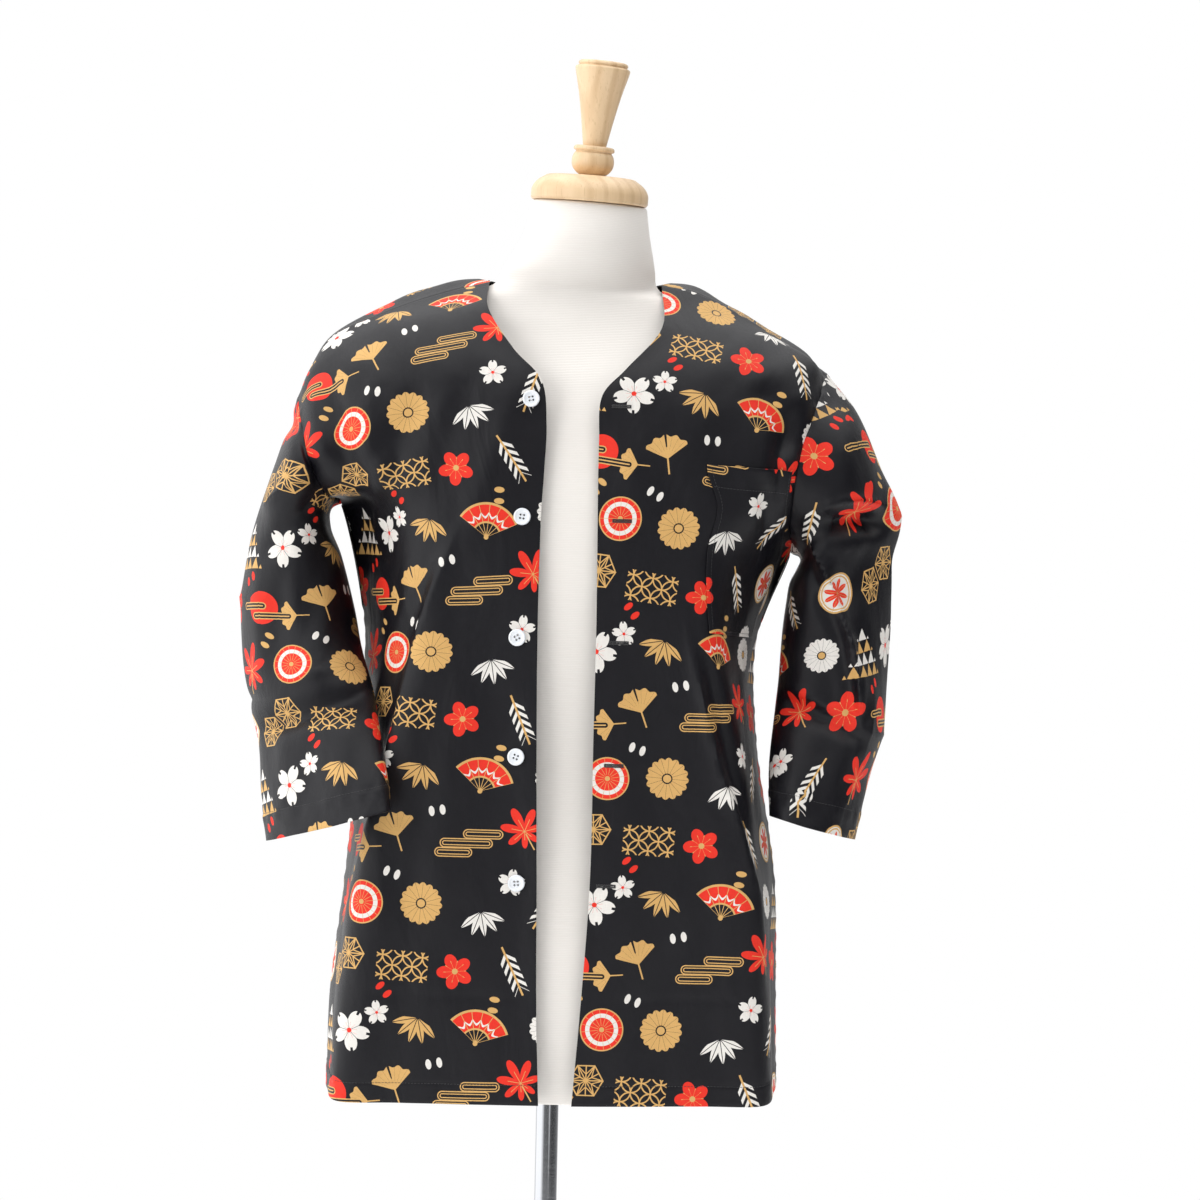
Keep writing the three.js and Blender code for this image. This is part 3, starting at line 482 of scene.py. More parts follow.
# Scales: rows of gold and ivory triangles
across, up, away, angle = motif(50, 80, 0, 1.15)
level = (up + 18).work("DIVIDE", 9)
part = level.work("FRACT")
step = (across * 0.1 + (level - part) * 0.5 + 10).work("FRACT")
triangle = abs(step - 0.5) * 2 < (part * -0.96 + 0.94)
heap = triangle & (up > -18) & (up < 18) & (abs(across) < (up * -0.6 + 13))
print_ink(GOLD, heap)
print_ink(IVORY, heap & ((level - part).work("MODULO", 2) > 0.5))

# Haze bands: long gold outlines one inside another
across, up, away, angle = motif(198, 24, 0, 1.1)
haze = None
for x, y, half in [(0, 0, 17), (13, 7.4, 12), (-10, -7.4, 11)]:
    reach = pill(across, up, x, y, half)
    band = reach.near(3.4, 0.45) | reach.near(1.5, 0.4)
    haze = band if haze is None else haze | band
print_ink(GOLD, haze)

# Autumn moon behind cloud bands
across, up, away, angle = motif(80, 24, 0, 1.2)
print_ink(RED, away < 12.5)
for x, y, half in [(8, -6, 14), (-9, 1.5, 10)]:
    reach = pill(across, up, x, y, half)
    print_ink((0.012, 0.011, 0.013, 1), reach < 2.4)
    print_ink(GOLD, reach.near(2.3, 0.42) | (reach < 0.5))

# Arrow feathers: ivory chevrons on gold shafts
for x, y, turn in [(240, 134, 24), (3, 192, -30)]:
    across, up, away, angle = motif(x, y, turn, 1.1)
    slant = up + abs(across) * 1.1
    bars = (slant + 100).work("MODULO", 7) < 3.6
    print_ink(IVORY, bars & (abs(across) < 6.2) & slant.near(3, 16))
    print_ink(GOLD, (abs(across) < 0.8) & (abs(up) < 21))

# Bamboo: five pointed leaves on a short stem
for x, y, turn, size, colour in [(158, 92, 160, 1.25, GOLD), (212, 186, 190, 1.2, IVORY)]:
    across, up, away, angle = motif(x, y, turn, size)
    fan = (angle - STRAIGHT_UP).work("WRAP", 0.26, -0.26)
    blade = abs(fan.sin()) * away
    shape = (away * 0.165).sin() * 2.5
    leaves = (blade < shape) & (away < 19) & (abs(angle - STRAIGHT_UP) < 1.3)
    print_ink(colour, leaves & ((blade < 0.28) < 0.5))

# Loose petals in pairs, where the ground would be bare
loose_petals = [
    (62, 50, 30, RED), (128, 116, -50, RED), (224, 104, 80, GOLD), (172, 52, 10, IVORY), (84, 216, 60, GOLD),
    (134, 218, -20, IVORY),
]
for x, y, turn, colour in loose_petals:
    across, up, away, angle = motif(x, y, turn, 1.2)
    two = abs(across) - 4
    print_ink(colour, (two * two * 1.6 + up * up * 0.5) < 7)

printed = add(printing, "SeparateColor", {0: ink}).outputs[0]
printed = add(printing, "Math", {0: printed, 1: 0.3}, operation="GREATER_THAN").outputs[0]
printing_out = printing.nodes.new("NodeGroupOutput")
printing.links.new(ink, printing_out.inputs["Ink"])
printing.links.new(printed, printing_out.inputs["Printed"])

weaving = bpy.data.node_groups.new("plain_weave", "ShaderNodeTree")
weaving.interface.new_socket("Place", in_out="INPUT", socket_type="NodeSocketVector")
weaving.interface.new_socket("Slub", in_out="OUTPUT", socket_type="NodeSocketFloat")
weaving.interface.new_socket("Height", in_out="OUTPUT", socket_type="NodeSocketFloat")
weave_place = weaving.nodes.new("NodeGroupInput").outputs["Place"]
threads = []
for stretch in [(2.2, 0.16, 1), (0.16, 2.2, 1)]:
    yarn = add(weaving, "Mapping", {"Vector": weave_place, "Scale": stretch}).outputs[0]
    threads.append(add(weaving, "TexNoise", {"Vector": yarn, "Scale": 1.0, "Detail": 3.0}).outputs["Fac"])
slub = add(weaving, "Math", {0: threads[0], 1: threads[1]}, operation="ADD").outputs[0]
wave = []
for direction in ("X", "Y"):
    wave.append(add(
        weaving, "TexWave", {"Vector": weave_place, "Scale": 0.72, "Distortion": 0.8},
        bands_direction=direction,
    ).outputs["Fac"])
crossing = add(weaving, "Math", {0: wave[0], 1: wave[1]}, operation="MULTIPLY").outputs[0]
thread_height = add(weaving, "Math", {0: slub, 1: crossing}, operation="ADD").outputs[0]
weaving_out = weaving.nodes.new("NodeGroupOutput")
weaving.links.new(slub, weaving_out.inputs["Slub"])
weaving.links.new(thread_height, weaving_out.inputs["Height"])


def cotton(name, dye, printed_side=True):
    """The cotton as one side of a panel: how dark it is dyed, and whether the print shows on it."""
    material, tree, shader = new_material(
        name, sheen_weight=0.012, sheen_roughness=0.3, specular_ior_level=0.27
    )
    uv = add(tree, "UVMap", uv_map="cut").outputs[0]
    place = add(tree, "Mapping", {"Vector": uv, "Scale": (1000, 1000, 1)}).outputs[0]
    weave = add(tree, "Group", node_tree=weaving)
    tree.links.new(place, weave.inputs["Place"])
    slub = weave.outputs["Slub"]
    ground = add(tree, "MapRange", {"Value": slub, 1: 0.7, 2: 1.3, 3: 0.72, 4: 1.3}).outputs[0]
    ground = add(tree, "VectorMath", {0: dye, "Scale": ground}, operation="SCALE").outputs[0]
    colour = ground
    if printed_side:
        prints = add(tree, "Group", node_tree=printing)
        tree.links.new(place, prints.inputs["Place"])
        worn = add(tree, "MapRange", {"Value": slub, 1: 0.75, 2: 1.25, 3: 0.9, 4: 1.0}).outputs[0]
        inked = add(
            tree, "VectorMath", {0: prints.outputs["Ink"], "Scale": worn}, operation="SCALE"
        ).outputs[0]
        colour = mixed(tree, prints.outputs["Printed"], ground, inked)
        rough = add(tree, "MapRange", {"Value": prints.outputs["Printed"], 3: 0.4, 4: 0.6}).outputs[0]
        tree.links.new(rough, shader.inputs["Roughness"])
    else:
        worn = add(tree, "MapRange", {"Value": slub, 3: 0.7, 4: 0.8}).outputs[0]
        tree.links.new(worn, shader.inputs["Roughness"])
    tree.links.new(colour, shader.inputs["Base Color"])
    creased = add(tree, "Mapping", {"Vector": uv, "Rotation": (0, 0, 0.35), "Scale": (26, 11, 1)}).outputs[0]
    crumple = add(
        tree, "TexNoise",
        {"Vector": creased, "Scale": 1.0, "Detail": 4.0, "Roughness": 0.45, "Distortion": 0.5},
    ).outputs["Fac"]
    soft = add(tree, "Bump", {"Height": crumple, "Strength": 0.45, "Distance": 0.006}).outputs[0]
    fine = add(
        tree, "Bump",
        {"Height": weave.outputs["Height"], "Strength": 0.4, "Distance": 0.00012, "Normal": soft},
    ).outputs[0]
    tree.links.new(fine, shader.inputs["Normal"])
    return material


cotton_face = cotton("printed_cotton_face", (0.0040, 0.0037, 0.0062))
cotton_back = cotton("printed_cotton_reverse", (0.0085, 0.008, 0.009), printed_side=False)

# ---- The fronts and the back --------------------------------------------------------------------------
# Three panels of printed cotton joined at the sides and the shoulders. The back is carried over the
# shoulder to a seam in front of its ridge. Hems are turned up twice and stitched.

# Each half's sections from the hem up: edge, fold, side, roundness, corner, blade, middle of the back
right_half = [
    (-7, -104, 665, -184, -88, 664, -197, -14, 676, 0.8, -182, 66, 674, -100, 106, 670, 110, 668),
    (-10.5, -107, 752, -178, -92, 750, -196, -4, 754, 0.7, -176, 68, 753, -98, 105, 752, 109, 752),
    (-12.5, -111, 862, -164, -98, 860, -185, 2, 862, 0.6, -166, 68, 862, -92, 103, 862, 106, 862),
    (-15, -114, 988, -139, -104, 985, -176, 4, 988, 0.5, -160, 68, 988, -86, 101, 988, 103, 988),
    (-16, -116, 1082, -115, -108, 1080, -173, 6, 1082, 0.45, -160, 70, 1084, -84, 102, 1086, 103, 1086),
    (-15, -115, 1180, -112, -106, 1176, -196, 4, 1189, 0.55, -184, 66, 1184, -88, 104, 1182, 103, 1180),
    (-13, -112, 1222, -124, -104, 1214, -207, -48, 1196, 0.8, -186, 77, 1214, -92, 102, 1222, 101, 1225),
    (-12, -107, 1258, -134, -99, 1246, -221, -70, 1226, 0.9, -193, 83, 1252, -96, 100, 1262, 99, 1270),
    (-17, -101, 1297, -142, -92, 1283, -229, -52, 1256, 0.9, -202, 74, 1288, -98, 94, 1306, 95, 1315),
    (-42, -88, 1325, -152, -76, 1315, -233, -33, 1271, 0.9, -213, 48, 1304, -100, 74, 1348, 86, 1350),
    (-66, -60, 1362, -158, -48, 1342, -235, -16, 1281, 0.95, -214, 18, 1331, -100, 18, 1390, 75, 1376),
    (-67, -14, 1389, -163, -14, 1358, -236, 2, 1284, 1, -210, 2, 1334, -98, 2, 1381, 66, 1390),
]
left_half = [
    (21.7, -104, 665, 190, -86, 667, 203, -12, 680, 0.8, 188, 66, 676, 104, 106, 671, 110, 668),
    (28, -107, 752, 185, -90, 752, 202, -2, 756, 0.7, 184, 68, 754, 102, 105, 752, 109, 752),
    (34, -111, 862, 173, -96, 860, 199, 3, 862, 0.6, 180, 68, 862, 100, 103, 862, 106, 862),
    (34.5, -114, 988, 154, -101, 985, 180, 5, 988, 0.5, 170, 68, 988, 98, 101, 988, 103, 988),
    (35, -116, 1082, 133, -107, 1080, 179, 6, 1076, 0.45, 168, 70, 1080, 98, 102, 1084, 103, 1086),
    (34.4, -115, 1158, 130, -108, 1150, 207, 2, 1153, 0.55, 196, 66, 1158, 100, 104, 1172, 103, 1180),
    (34, -112, 1200, 138, -108, 1190, 204, -50, 1178, 0.8, 192, 79, 1202, 102, 102, 1216, 101, 1225),
    (34, -108, 1244, 128, -106, 1227, 208, -76, 1222, 0.9, 195, 85, 1246, 106, 100, 1260, 99, 1270),
    (36, -101, 1285, 150, -94, 1279, 221, -62, 1268, 0.9, 202, 78, 1290, 108, 94, 1306, 95, 1315),
    (56, -90, 1309, 160, -78, 1315, 229, -42, 1293, 0.9, 222, 52, 1310, 112, 74, 1348, 86, 1350),
    (87, -62, 1347, 168, -48, 1342, 233, -22, 1308, 0.95, 222, 22, 1330, 116, 22, 1390, 75, 1376),
    (87, -14, 1389, 172, -17, 1355, 235, -2, 1315, 1, 206, 2, 1334, 114, 2, 1384, 66, 1390),
]
back_x = (2, 3, 4, 6, 8, 10, 11, 11, 12, 12, 12, 12)
right_seam = [
    (-67, -14, 1389), (-98, -14, 1381), (-130, -14, 1371), (-163, -14, 1358), (-210, -8, 1334),
    (-236, 2, 1284),
]
left_seam = [
    (87, -14, 1389), (114, -15, 1384), (142, -16, 1372), (172, -17, 1355), (206, -12, 1334), (235, -2, 1315),
]
right_nape, left_nape = (8, 3, (-65, 12, 1390)), (0, 4, (87, 10, 1390))
UNDERARM, NAPE = 5, 10

# Stations across a front, and up from the hem, closer at the seams and at the hem's stitching
ACROSS = np.sort(np.concatenate([np.arange(0, 5.01, 1 / 12), [0.02, 4.955, 4.985]]))
UP_STEPS = (24, 30, 34, 26, 28, 12, 10, 11, 10, 14, 14)
UP = np.concatenate([i + np.arange(n) / n for i, n in enumerate(UP_STEPS)])
UP = np.unique(np.round(np.concatenate([UP, [0.188, 0.201, 0.214, 10.95, 10.985, 11]]), 5))


def blend_of(one, other, share):
    return np.asarray(one, float) * (1 - share) + np.asarray(other, float) * share


def front_section(edge, fold, side, roundness):
    """The points of a front from its edge over the flat and the fold to the side."""
    flats = [blend_of(edge, fold, share) + (0, -3, 0) for share in (0.34, 0.68)]
    shares = (0.35 + 0.5 * roundness, 0.45, 0.6)
    turn = [blend_of(fold[k], side[k], shares[k]) for k in range(3)]
    return [edge, *flats, fold, turn, side]


def back_section(side, corner, blade, middle, bow, rise):
    """The points of the back from the side over the corner and the blade to the middle."""
    turns = [blend_of(corner, blade, share) + (0, 5, bow) for share in (0.33, 0.68)]
    inner = blend_of(blade, middle, 0.16) + (0, 0, rise)
    near = blend_of(blade, middle, 0.42) + (0, 0, rise / 2)
    return [side, corner, *turns, blade, inner, near, middle]


BACK_ACROSS = np.unique(np.round(np.concatenate([5 - ACROSS, 5 + np.arange(0, 2.01, 1 / 6)]), 5))


def body_half(sections, seam, nape):
    """The front and half of the back as grids of points, from the same sections."""
    fronts, backs = [], []
    bow, rise, neck_turn = nape
    for row, s in enumerate(sections):
        edge, fold, side, roundness = s[0:3], s[3:6], s[6:9], s[9]
        corner, blade, middle = s[10:13], s[13:16], (back_x[row], s[16], s[17])
        fronts.append(smooth(front_section(edge, fold, side, roundness), ACROSS))
        behind = side if row <= UNDERARM else (side[0], 4 + 0.9 * (4 - side[1]), side[2])
        over = (bow, rise) if row == NAPE else (0, 0)
        backs.append(smooth(back_section(behind, corner, blade, middle, *over), BACK_ACROSS))
    fronts[-1] = smooth(seam, ACROSS)
    middle = (back_x[-1], sections[-1][16], sections[-1][17])
    behind = [blend_of(neck_turn[k], middle[k], share) for k, share in enumerate((0.36, 0.7, 0.4))]
    inner = BACK_ACROSS[BACK_ACROSS > 5]
    neckline = smooth([seam[0], neck_turn, behind, middle], np.where(inner < 6, inner - 5, 2 * inner - 11))
    backs[-1] = np.concatenate([smooth(seam[::-1], BACK_ACROSS[BACK_ACROSS <= 5]), neckline])
    return smooth(np.array(fronts), UP), smooth(np.array(backs), UP)


def normals_of(points, sign):
    """The outward normals of a grid of points."""
    up = np.gradient(points, axis=0)
    across = np.gradient(points, axis=1)
    normals = np.cross(up, across) * sign
    return normals / np.maximum(np.linalg.norm(normals, axis=-1, keepdims=True), 1e-9)


def ramp(value, low, high):
    share = np.clip((value - low) / (high - low), 0, 1)
    return share * share * (3 - 2 * share)


def fold_cloth(points, normals, folds):
    """How far folds move the points. A fold has its side, shape, height, width and line, seen square on.

    The sides are -1 for the front and 1 for the back, and -2 and 2 for the wearer's right and left.
    """
    moves = np.zeros(points.shape[:2])
    for face, shape, height, width, *line in folds:
        line = np.array(line, float)
        across = abs(face) - 1
        reach = np.full(points.shape[:2], 1e9)
        along = np.zeros(points.shape[:2])
        aside = np.zeros(points.shape[:2])
        lengths = np.concatenate([[0], np.cumsum(np.linalg.norm(np.diff(line, axis=0), axis=1))])
        for k in range(len(line) - 1):
            run = line[k + 1] - line[k]
            start = points[..., (across, 2)] - line[k]
            share = (start @ run) / (run @ run)
            inside = np.clip(share, 0 if k else -1, 1 if k < len(line) - 2 else 2)
            gap = np.linalg.norm(start - inside[..., None] * run, axis=-1)
            side = (start[..., 0] * run[1] - start[..., 1] * run[0]) / np.linalg.norm(run)
            closer = gap < reach
            reach = np.where(closer, gap, reach)
            along = np.where(closer, (lengths[k] + inside * np.linalg.norm(run)) / lengths[-1], along)
            aside = np.where(closer, side, aside)
        away = reach / width
        profile = {
            "soft": np.exp(-away ** 2),
            "crease": np.exp(-1.5 * away),
            "lip": 1.6 * np.sign(aside) * away * np.exp(-away ** 2),
        }[shape]
        ends = ramp(along, -0.12, 0.2) * (1 - ramp(along, 0.8, 1.12))
        facing = np.clip(np.sign(face) * normals[..., 1 - across] * 1.5, 0, 1)
        moves += height * profile * ends * facing
    return moves


# The folds that the panels share with the solids under them: side, shape, height, width, top, foot
main_folds = [
    (-1, "soft", -4, 16, (-120, 1290), (-152, 1222)),
    (-1, "soft", -3, 26, (-60, 1130), (-40, 700)),
    (-1, "soft", -5, 16, (178, 1300), (204, 1238)),
    (-1, "soft", -3, 28, (84, 1090), (104, 690)),
    (1, "soft", -9, 24, (-60, 1240), (-84, 690)),
    (1, "soft", 5, 30, (20, 1200), (28, 680)),
    (1, "soft", -10, 22, (78, 1250), (108, 690)),
    (1, "soft", -5, 16, (-150, 1290), (-120, 1130)),
    (1, "soft", -5, 16, (168, 1300), (140, 1120)),
]
# Smaller folds, pulls and pressed creases of the cloth alone
small_folds = [
    (-1, "lip", 4.5, 9, (-146, 1232), (-152, 1204), (-158, 1176), (-165, 1135)),
    (-1, "soft", -12.0, 13, (-210, 1300), (-202, 1270), (-190, 1226), (-174, 1180), (-168, 1130)),
    (-1, "crease", 3.0, 8, (-160, 1300), (-172, 1268), (-168, 1222)),
    (-1, "crease", 5.5, 7, (-96, 1145), (-112, 1104), (-132, 1031), (-146, 971), (-172, 864), (-191, 767)),
    (-1, "soft", -8.0, 8, (-112, 1140), (-129, 1080), (-146, 1010), (-158, 960), (-172, 890), (-185, 820)),
    (-1, "crease", 2.4, 7, (-128, 1120), (-146, 1060), (-160, 1010)),
    (-1, "crease", -0.6, 4, (-147, 1330), (-141, 1080), (-136, 840)),
    (-1, "crease", -0.5, 4, (-20, 1104), (-130, 1108)),
    (-1, "crease", -0.5, 4, (-12, 757), (-180, 760)),
    (-1, "crease", -0.5, 4, (164, 850), (164, 750)),
    (-1, "crease", -0.5, 4, (40, 757), (190, 760)),
    (-1, "crease", -0.4, 4, (40, 1106), (130, 1108)),
    (-1, "soft", 1.6, 12, (-34, 1300), (-60, 1230), (-84, 1150)),
    (-1, "soft", -2.0, 14, (-74, 1310), (-96, 1250), (-104, 1190)),
    (-1, "soft", 1.5, 18, (-86, 1000), (-96, 860), (-120, 700)),
    (-1, "soft", -1.6, 14, (-30, 940), (-26, 800), (-30, 690)),
    (-1, "soft", 1.8, 16, (-140, 860), (-160, 760), (-166, 680)),
    (-1, "crease", 5.5, 7, (116, 1076), (121, 1054), (134, 1004), (146, 958), (164, 910), (180, 852),
     (188, 780)),
    (-1, "soft", -7.0, 8, (131, 1060), (146, 1004), (159, 956), (177, 906), (191, 856)),
    (-1, "soft", -2.2, 14, (62, 1290), (86, 1230), (100, 1170)),
    (-1, "soft", 1.8, 14, (110, 1290), (120, 1240), (126, 1190)),
    (-1, "soft", 1.5, 16, (60, 1040), (66, 900), (60, 740)),
    (-1, "soft", -1.6, 16, (128, 900), (140, 780), (140, 690)),
    (-1, "lip", -2.6, 9, (180, 1222), (186, 1190), (190, 1160)),
    (-1, "soft", -8.0, 12, (206, 1276), (198, 1240), (190, 1200), (188, 1160)),
    (1, "crease", 1.8, 10, (-30, 1300), (-36, 1180), (-50, 1040)),
    (1, "soft", 3.0, 13, (-110, 1230), (-116, 1080), (-130, 860), (-140, 690)),
    (1, "soft", -3.0, 12, (-140, 1180), (-146, 1000), (-150, 860)),
    (1, "soft", 2.6, 12, (60, 1260), (64, 1080), (70, 840), (80, 690)),
    (1, "crease", 1.6, 9, (124, 1220), (134, 1120), (140, 1000)),
    (1, "soft", 2.6, 14, (136, 1060), (146, 880), (150, 690)),
    (1, "soft", -2.2, 14, (-10, 1240), (-16, 1040), (-20, 800)),
    (1, "lip", 3.0, 10, (-176, 1250), (-150, 1190), (-130, 1130)),
    (1, "lip", -3.0, 10, (188, 1250), (160, 1190), (138, 1130)),
    (1, "crease", -0.6, 4, (-150, 1106), (150, 1108)),
    (1, "crease", -0.6, 4, (-160, 757), (160, 760)),
]


def arc(points, axis):
    """How far each point lies along its line of the grid, on the cloth itself."""
    steps = np.linalg.norm(np.diff(points, axis=axis), axis=-1)
    start = np.zeros_like(np.take(steps, [0], axis=axis))
    return np.cumsum(np.concatenate([start, steps], axis=axis), axis=axis)


def flattened(points, u, v):
    """The cut of a panel: its arc lengths across and up, relaxed until the flat cloth keeps its lengths."""
    flat = np.stack([u, v], axis=-1)
    links = [((0, 1), (0, 0)), ((1, 0), (0, 0)), ((1, 1), (0, 0)), ((1, 0), (0, 1))]
    # A coarse net settles first, and a finer one after it
    for stride, rounds in ((6, 900), (2, 300)):
        rows, columns = (
            np.unique(np.append(np.arange(0, count, stride), count - 1)) for count in points.shape[:2]
        )
        solid, coarse = points[np.ix_(rows, columns)], flat[np.ix_(rows, columns)].copy()
        start = coarse.copy()
        shape = np.array(coarse.shape[:2])
        parts = []
        for one, other in links:
            high = shape - np.maximum(one, other)
            ends = [tuple(slice(k, k + n) for k, n in zip(end, high)) for end in (one, other)]
            parts.append((*ends, np.linalg.norm(solid[ends[0]] - solid[ends[1]], axis=-1, keepdims=True)))
        count = np.zeros((*shape, 1))
        for one, other, _ in parts:
            count[one] += 1
            count[other] += 1
        for _ in range(rounds):
            pull = np.zeros_like(coarse)
            for one, other, length in parts:
                gap = coarse[one] - coarse[other]
                now = np.maximum(np.linalg.norm(gap, axis=-1, keepdims=True), 1e-6)
                pulled = gap * 0.5 * (length / now - 1)
                pull[one] += pulled
                pull[other] -= pulled
            coarse += pull / count
        change = coarse - start
        for axis, (places, total) in enumerate(((rows, points.shape[0]), (columns, points.shape[1]))):
            change = np.moveaxis(change, axis, 0)
            low = np.clip(np.searchsorted(places, np.arange(total), side="right") - 1, 0, len(places) - 2)
            share = ((np.arange(total) - places[low]) / (places[low + 1] - places[low])).reshape(-1, 1, 1)
            change = np.moveaxis(change[low] * (1 - share) + change[low + 1] * share, 0, axis)
        flat += change
    return flat[..., 0], flat[..., 1]


# How far above the edge the hem is stitched
HEM = 17.5


def seam_rise(distance):
    """The cloth's turned edges stand proud beside a seam, and meet in a groove on it."""
    return 0.6 * (1 - (1 - np.clip(distance / 2.2, 0, 1)) ** 2)


def puckers(along, across, size):
    """The small waves that a line of stitching draws into the cloth."""
    waves = np.sin(along / 2.3 + 1.3 * np.sin(along / 17)) + 0.7 * np.sin(along / 4.1 + 2)
    return size * waves * np.exp(-(across / 5.5) ** 2)


def drift(u, v, size):
    """Slow unevenness of cloth that has been folded and worn."""
    slow = np.sin(u / 19 + 1.1 * np.sin(v / 47)) * np.sin(v / 71 + 0.8 * np.sin(u / 31))
    return size * (slow + 0.5 * np.sin(u / 8.5 + 2 * np.sin(v / 39)) * np.sin(v / 26 + 1))


def dress(front, back, sign):
    """Folds both panels of a half, and joins them again at the side and at the shoulder.

    Each panel gives its arc lengths across and up, and its shape before the smaller folds.
    """
    for points in (front, back):
        normals = normals_of(points, sign)
        points += normals * fold_cloth(points, normals, main_folds)[..., None]
    side_rows = UP <= UNDERARM
    back[side_rows, 0] = front[side_rows, -1]
    back[-1, : len(ACROSS)] = front[-1, ::-1]
    made = []
    for points, side in ((front, -1), (back, 0)):
        normals = normals_of(points, sign)
        u, v = arc(points, 1), arc(points, 0)
        from_side = u if side == 0 else u[:, -1:] - u
        from_top = v[-1:] - v
        covered = np.arange(points.shape[1]) < len(ACROSS) if side == 0 else np.ones(points.shape[1], bool)
        from_seam = np.minimum(from_side, np.where(covered, from_top, 1e3))
        moves = fold_cloth(points, normals, small_folds) + drift(u, v, 0.7)
        moves *= ramp(from_seam, 2, 24)
        moves += puckers(v, from_side, 0.34) * (from_side > 0.1)
        moves += seam_rise(from_seam)
        moves += 0.35 * (1 - ramp(v, HEM - 0.5, HEM + 0.7)) - 0.4 * np.exp(-((v - HEM) / 0.9) ** 2)
        moves += puckers(u, v - HEM + 2.5, 0.3)
        made.append((u, v, points.copy()))
        points += normals * moves[..., None]
    back[side_rows, 0] = front[side_rows, -1]
    back[-1, : len(ACROSS)] = front[-1, ::-1]
    return made


right_front, right_back = body_half(right_half, right_seam, right_nape)
left_front, left_back = body_half(left_half, left_seam, left_nape)
right_cut, left_cut = dress(right_front, right_back, 1), dress(left_front, left_back, -1)

whole_back = np.concatenate([right_back, left_back[:, -2::-1]], axis=1)
right_u, left_u = (cut[1][0][:, -1:] - cut[1][0] for cut in (right_cut, left_cut))
back_u = np.concatenate([right_u, -left_u[:, -2::-1]], axis=1)
back_v, plain_back = (
    np.concatenate([right_cut[1][k], left_cut[1][k][:, -2::-1]], axis=1) for k in (1, 2)
)


def cloth_piece(name, points, plain, u, v, sign, node, closed=False):
    """A panel of cloth on its points, with its thickness turned inwards and its rims rounded."""
    bm = grid_mesh(points, np.stack(flattened(plain, u, v), axis=-1))
    if sign > 0:
        bmesh.ops.reverse_faces(bm, faces=bm.faces)
    if closed:
        bmesh.ops.remove_doubles(bm, verts=[vert for vert in bm.verts if vert.is_boundary], dist=1e-6)
    made = finished(name, bm, "printed_cotton", [cotton_face, cotton_back], node)
    wall = made.modifiers.new("cloth_thickness", "SOLIDIFY")
    wall.thickness = 1.0 * MM
    wall.offset = -1
    wall.material_offset = 1
    rim = made.modifiers.new("turned_edge", "BEVEL")
    rim.width = 0.32 * MM
    rim.segments = 2
    rim.limit_method = "ANGLE"
    rim.angle_limit = math.radians(70)
    return made


# Where each cut starts on the printed cloth, across and up
RIGHT_LAY, LEFT_LAY, BACK_LAY = (-7, 20), (91.7, 130), (0, 64)
u, v, plain = right_cut[0]
right_panel = cloth_piece(
    "front_right_panel", right_front, plain, RIGHT_LAY[0] - u, RIGHT_LAY[1] + v, 1, "front_right"
)
u, v, plain = left_cut[0]
left_panel = cloth_piece(
    "front_left_panel", left_front, plain, LEFT_LAY[0] + u, LEFT_LAY[1] + v, -1, "front_left"
)
back_panel = cloth_piece(
    "back_panel", whole_back, plain_back, BACK_LAY[0] + back_u, BACK_LAY[1] + back_v, 1, "back"
)

# ---- The sleeves --------------------------------------------------------------------------------------
# Two straight three-quarter sleeves, each cut in one, closed with a seam under the arm, sewn into the
# dropped armhole and hemmed at the cuff. They fold over at the elbow and under the arm.

# Rings below the armhole: outer edge, inner edge, front and back depth, place of the ridge and its power
right_rings = [
    (-248, 2, 1245, -206, 2, 1182, 74, 74, 0.5, 2),
    (-262, 2, 1203, -206, 2, 1166, 66, 68, 0.5, 2),
    (-277, 1, 1147, -196, -1, 1143, 58, 60, 0.5, 1.9),
    (-283, -2, 1096, -182, -8, 1094, 54, 56, 0.5, 1.8),
    (-281, -8, 1056, -174, -26, 1060, 50, 54, 0.5, 1.8),
    (-273, -20, 1008, -161, -62, 1024, 44, 50, 0.55, 1.7),
    (-262, -34, 972, -152, -94, 986, 40, 42, 0.5, 1.9),
    (-258, -48, 930, -144, -120, 950, 36, 34, 0.5, 2),
    (-251, -62, 889, -140, -135, 921, 34, 30, 0.5, 2),
]
left_rings = [
    (264, 0, 1279, 217, 0, 1147, 74, 74, 0.5, 2),
    (286, 0, 1232, 214, 0, 1138, 68, 68, 0.45, 2),
    (304, -2, 1187, 208, -2, 1126, 58, 60, 0.3, 1.6),
    (299, -4, 1140, 205, -4, 1108, 54, 56, 0.35, 1.3),
    (298, -4, 1085, 202, -8, 1084, 54, 54, 0.6, 1.25),
    (296, -4, 1035, 199, -14, 1040, 52, 52, 0.74, 1.25),
    (292, -6, 992, 196, -24, 1012, 48, 50, 0.86, 1.3),
    (280, -14, 950, 191, -42, 962, 44, 46, 0.6, 1.8),
    (268, -22, 899, 192, -60, 920, 42, 42, 0.5, 2),
]
armhole_rows = UP[UP >= UNDERARM]
# Ten steps from the underarm to the shoulder seam, two to a section but one to each of two short ones
half_turn = np.interp(armhole_rows, [5, 6, 7, 8, 9, 10, 11], [0, 2, 4, 6, 7, 8, 10]) * math.pi / 10
ring_angle = np.concatenate([half_turn - math.pi, (math.pi - half_turn)[::-1][1:]])
ALONG = np.concatenate([
    np.arange(0, 6, 1 / 14), np.arange(6, 8, 1 / 9), np.arange(8, 9.01, 1 / 12),
    [0.02, 0.06, 8.36, 8.39, 8.42],
])
ALONG = np.unique(np.round(ALONG, 5))


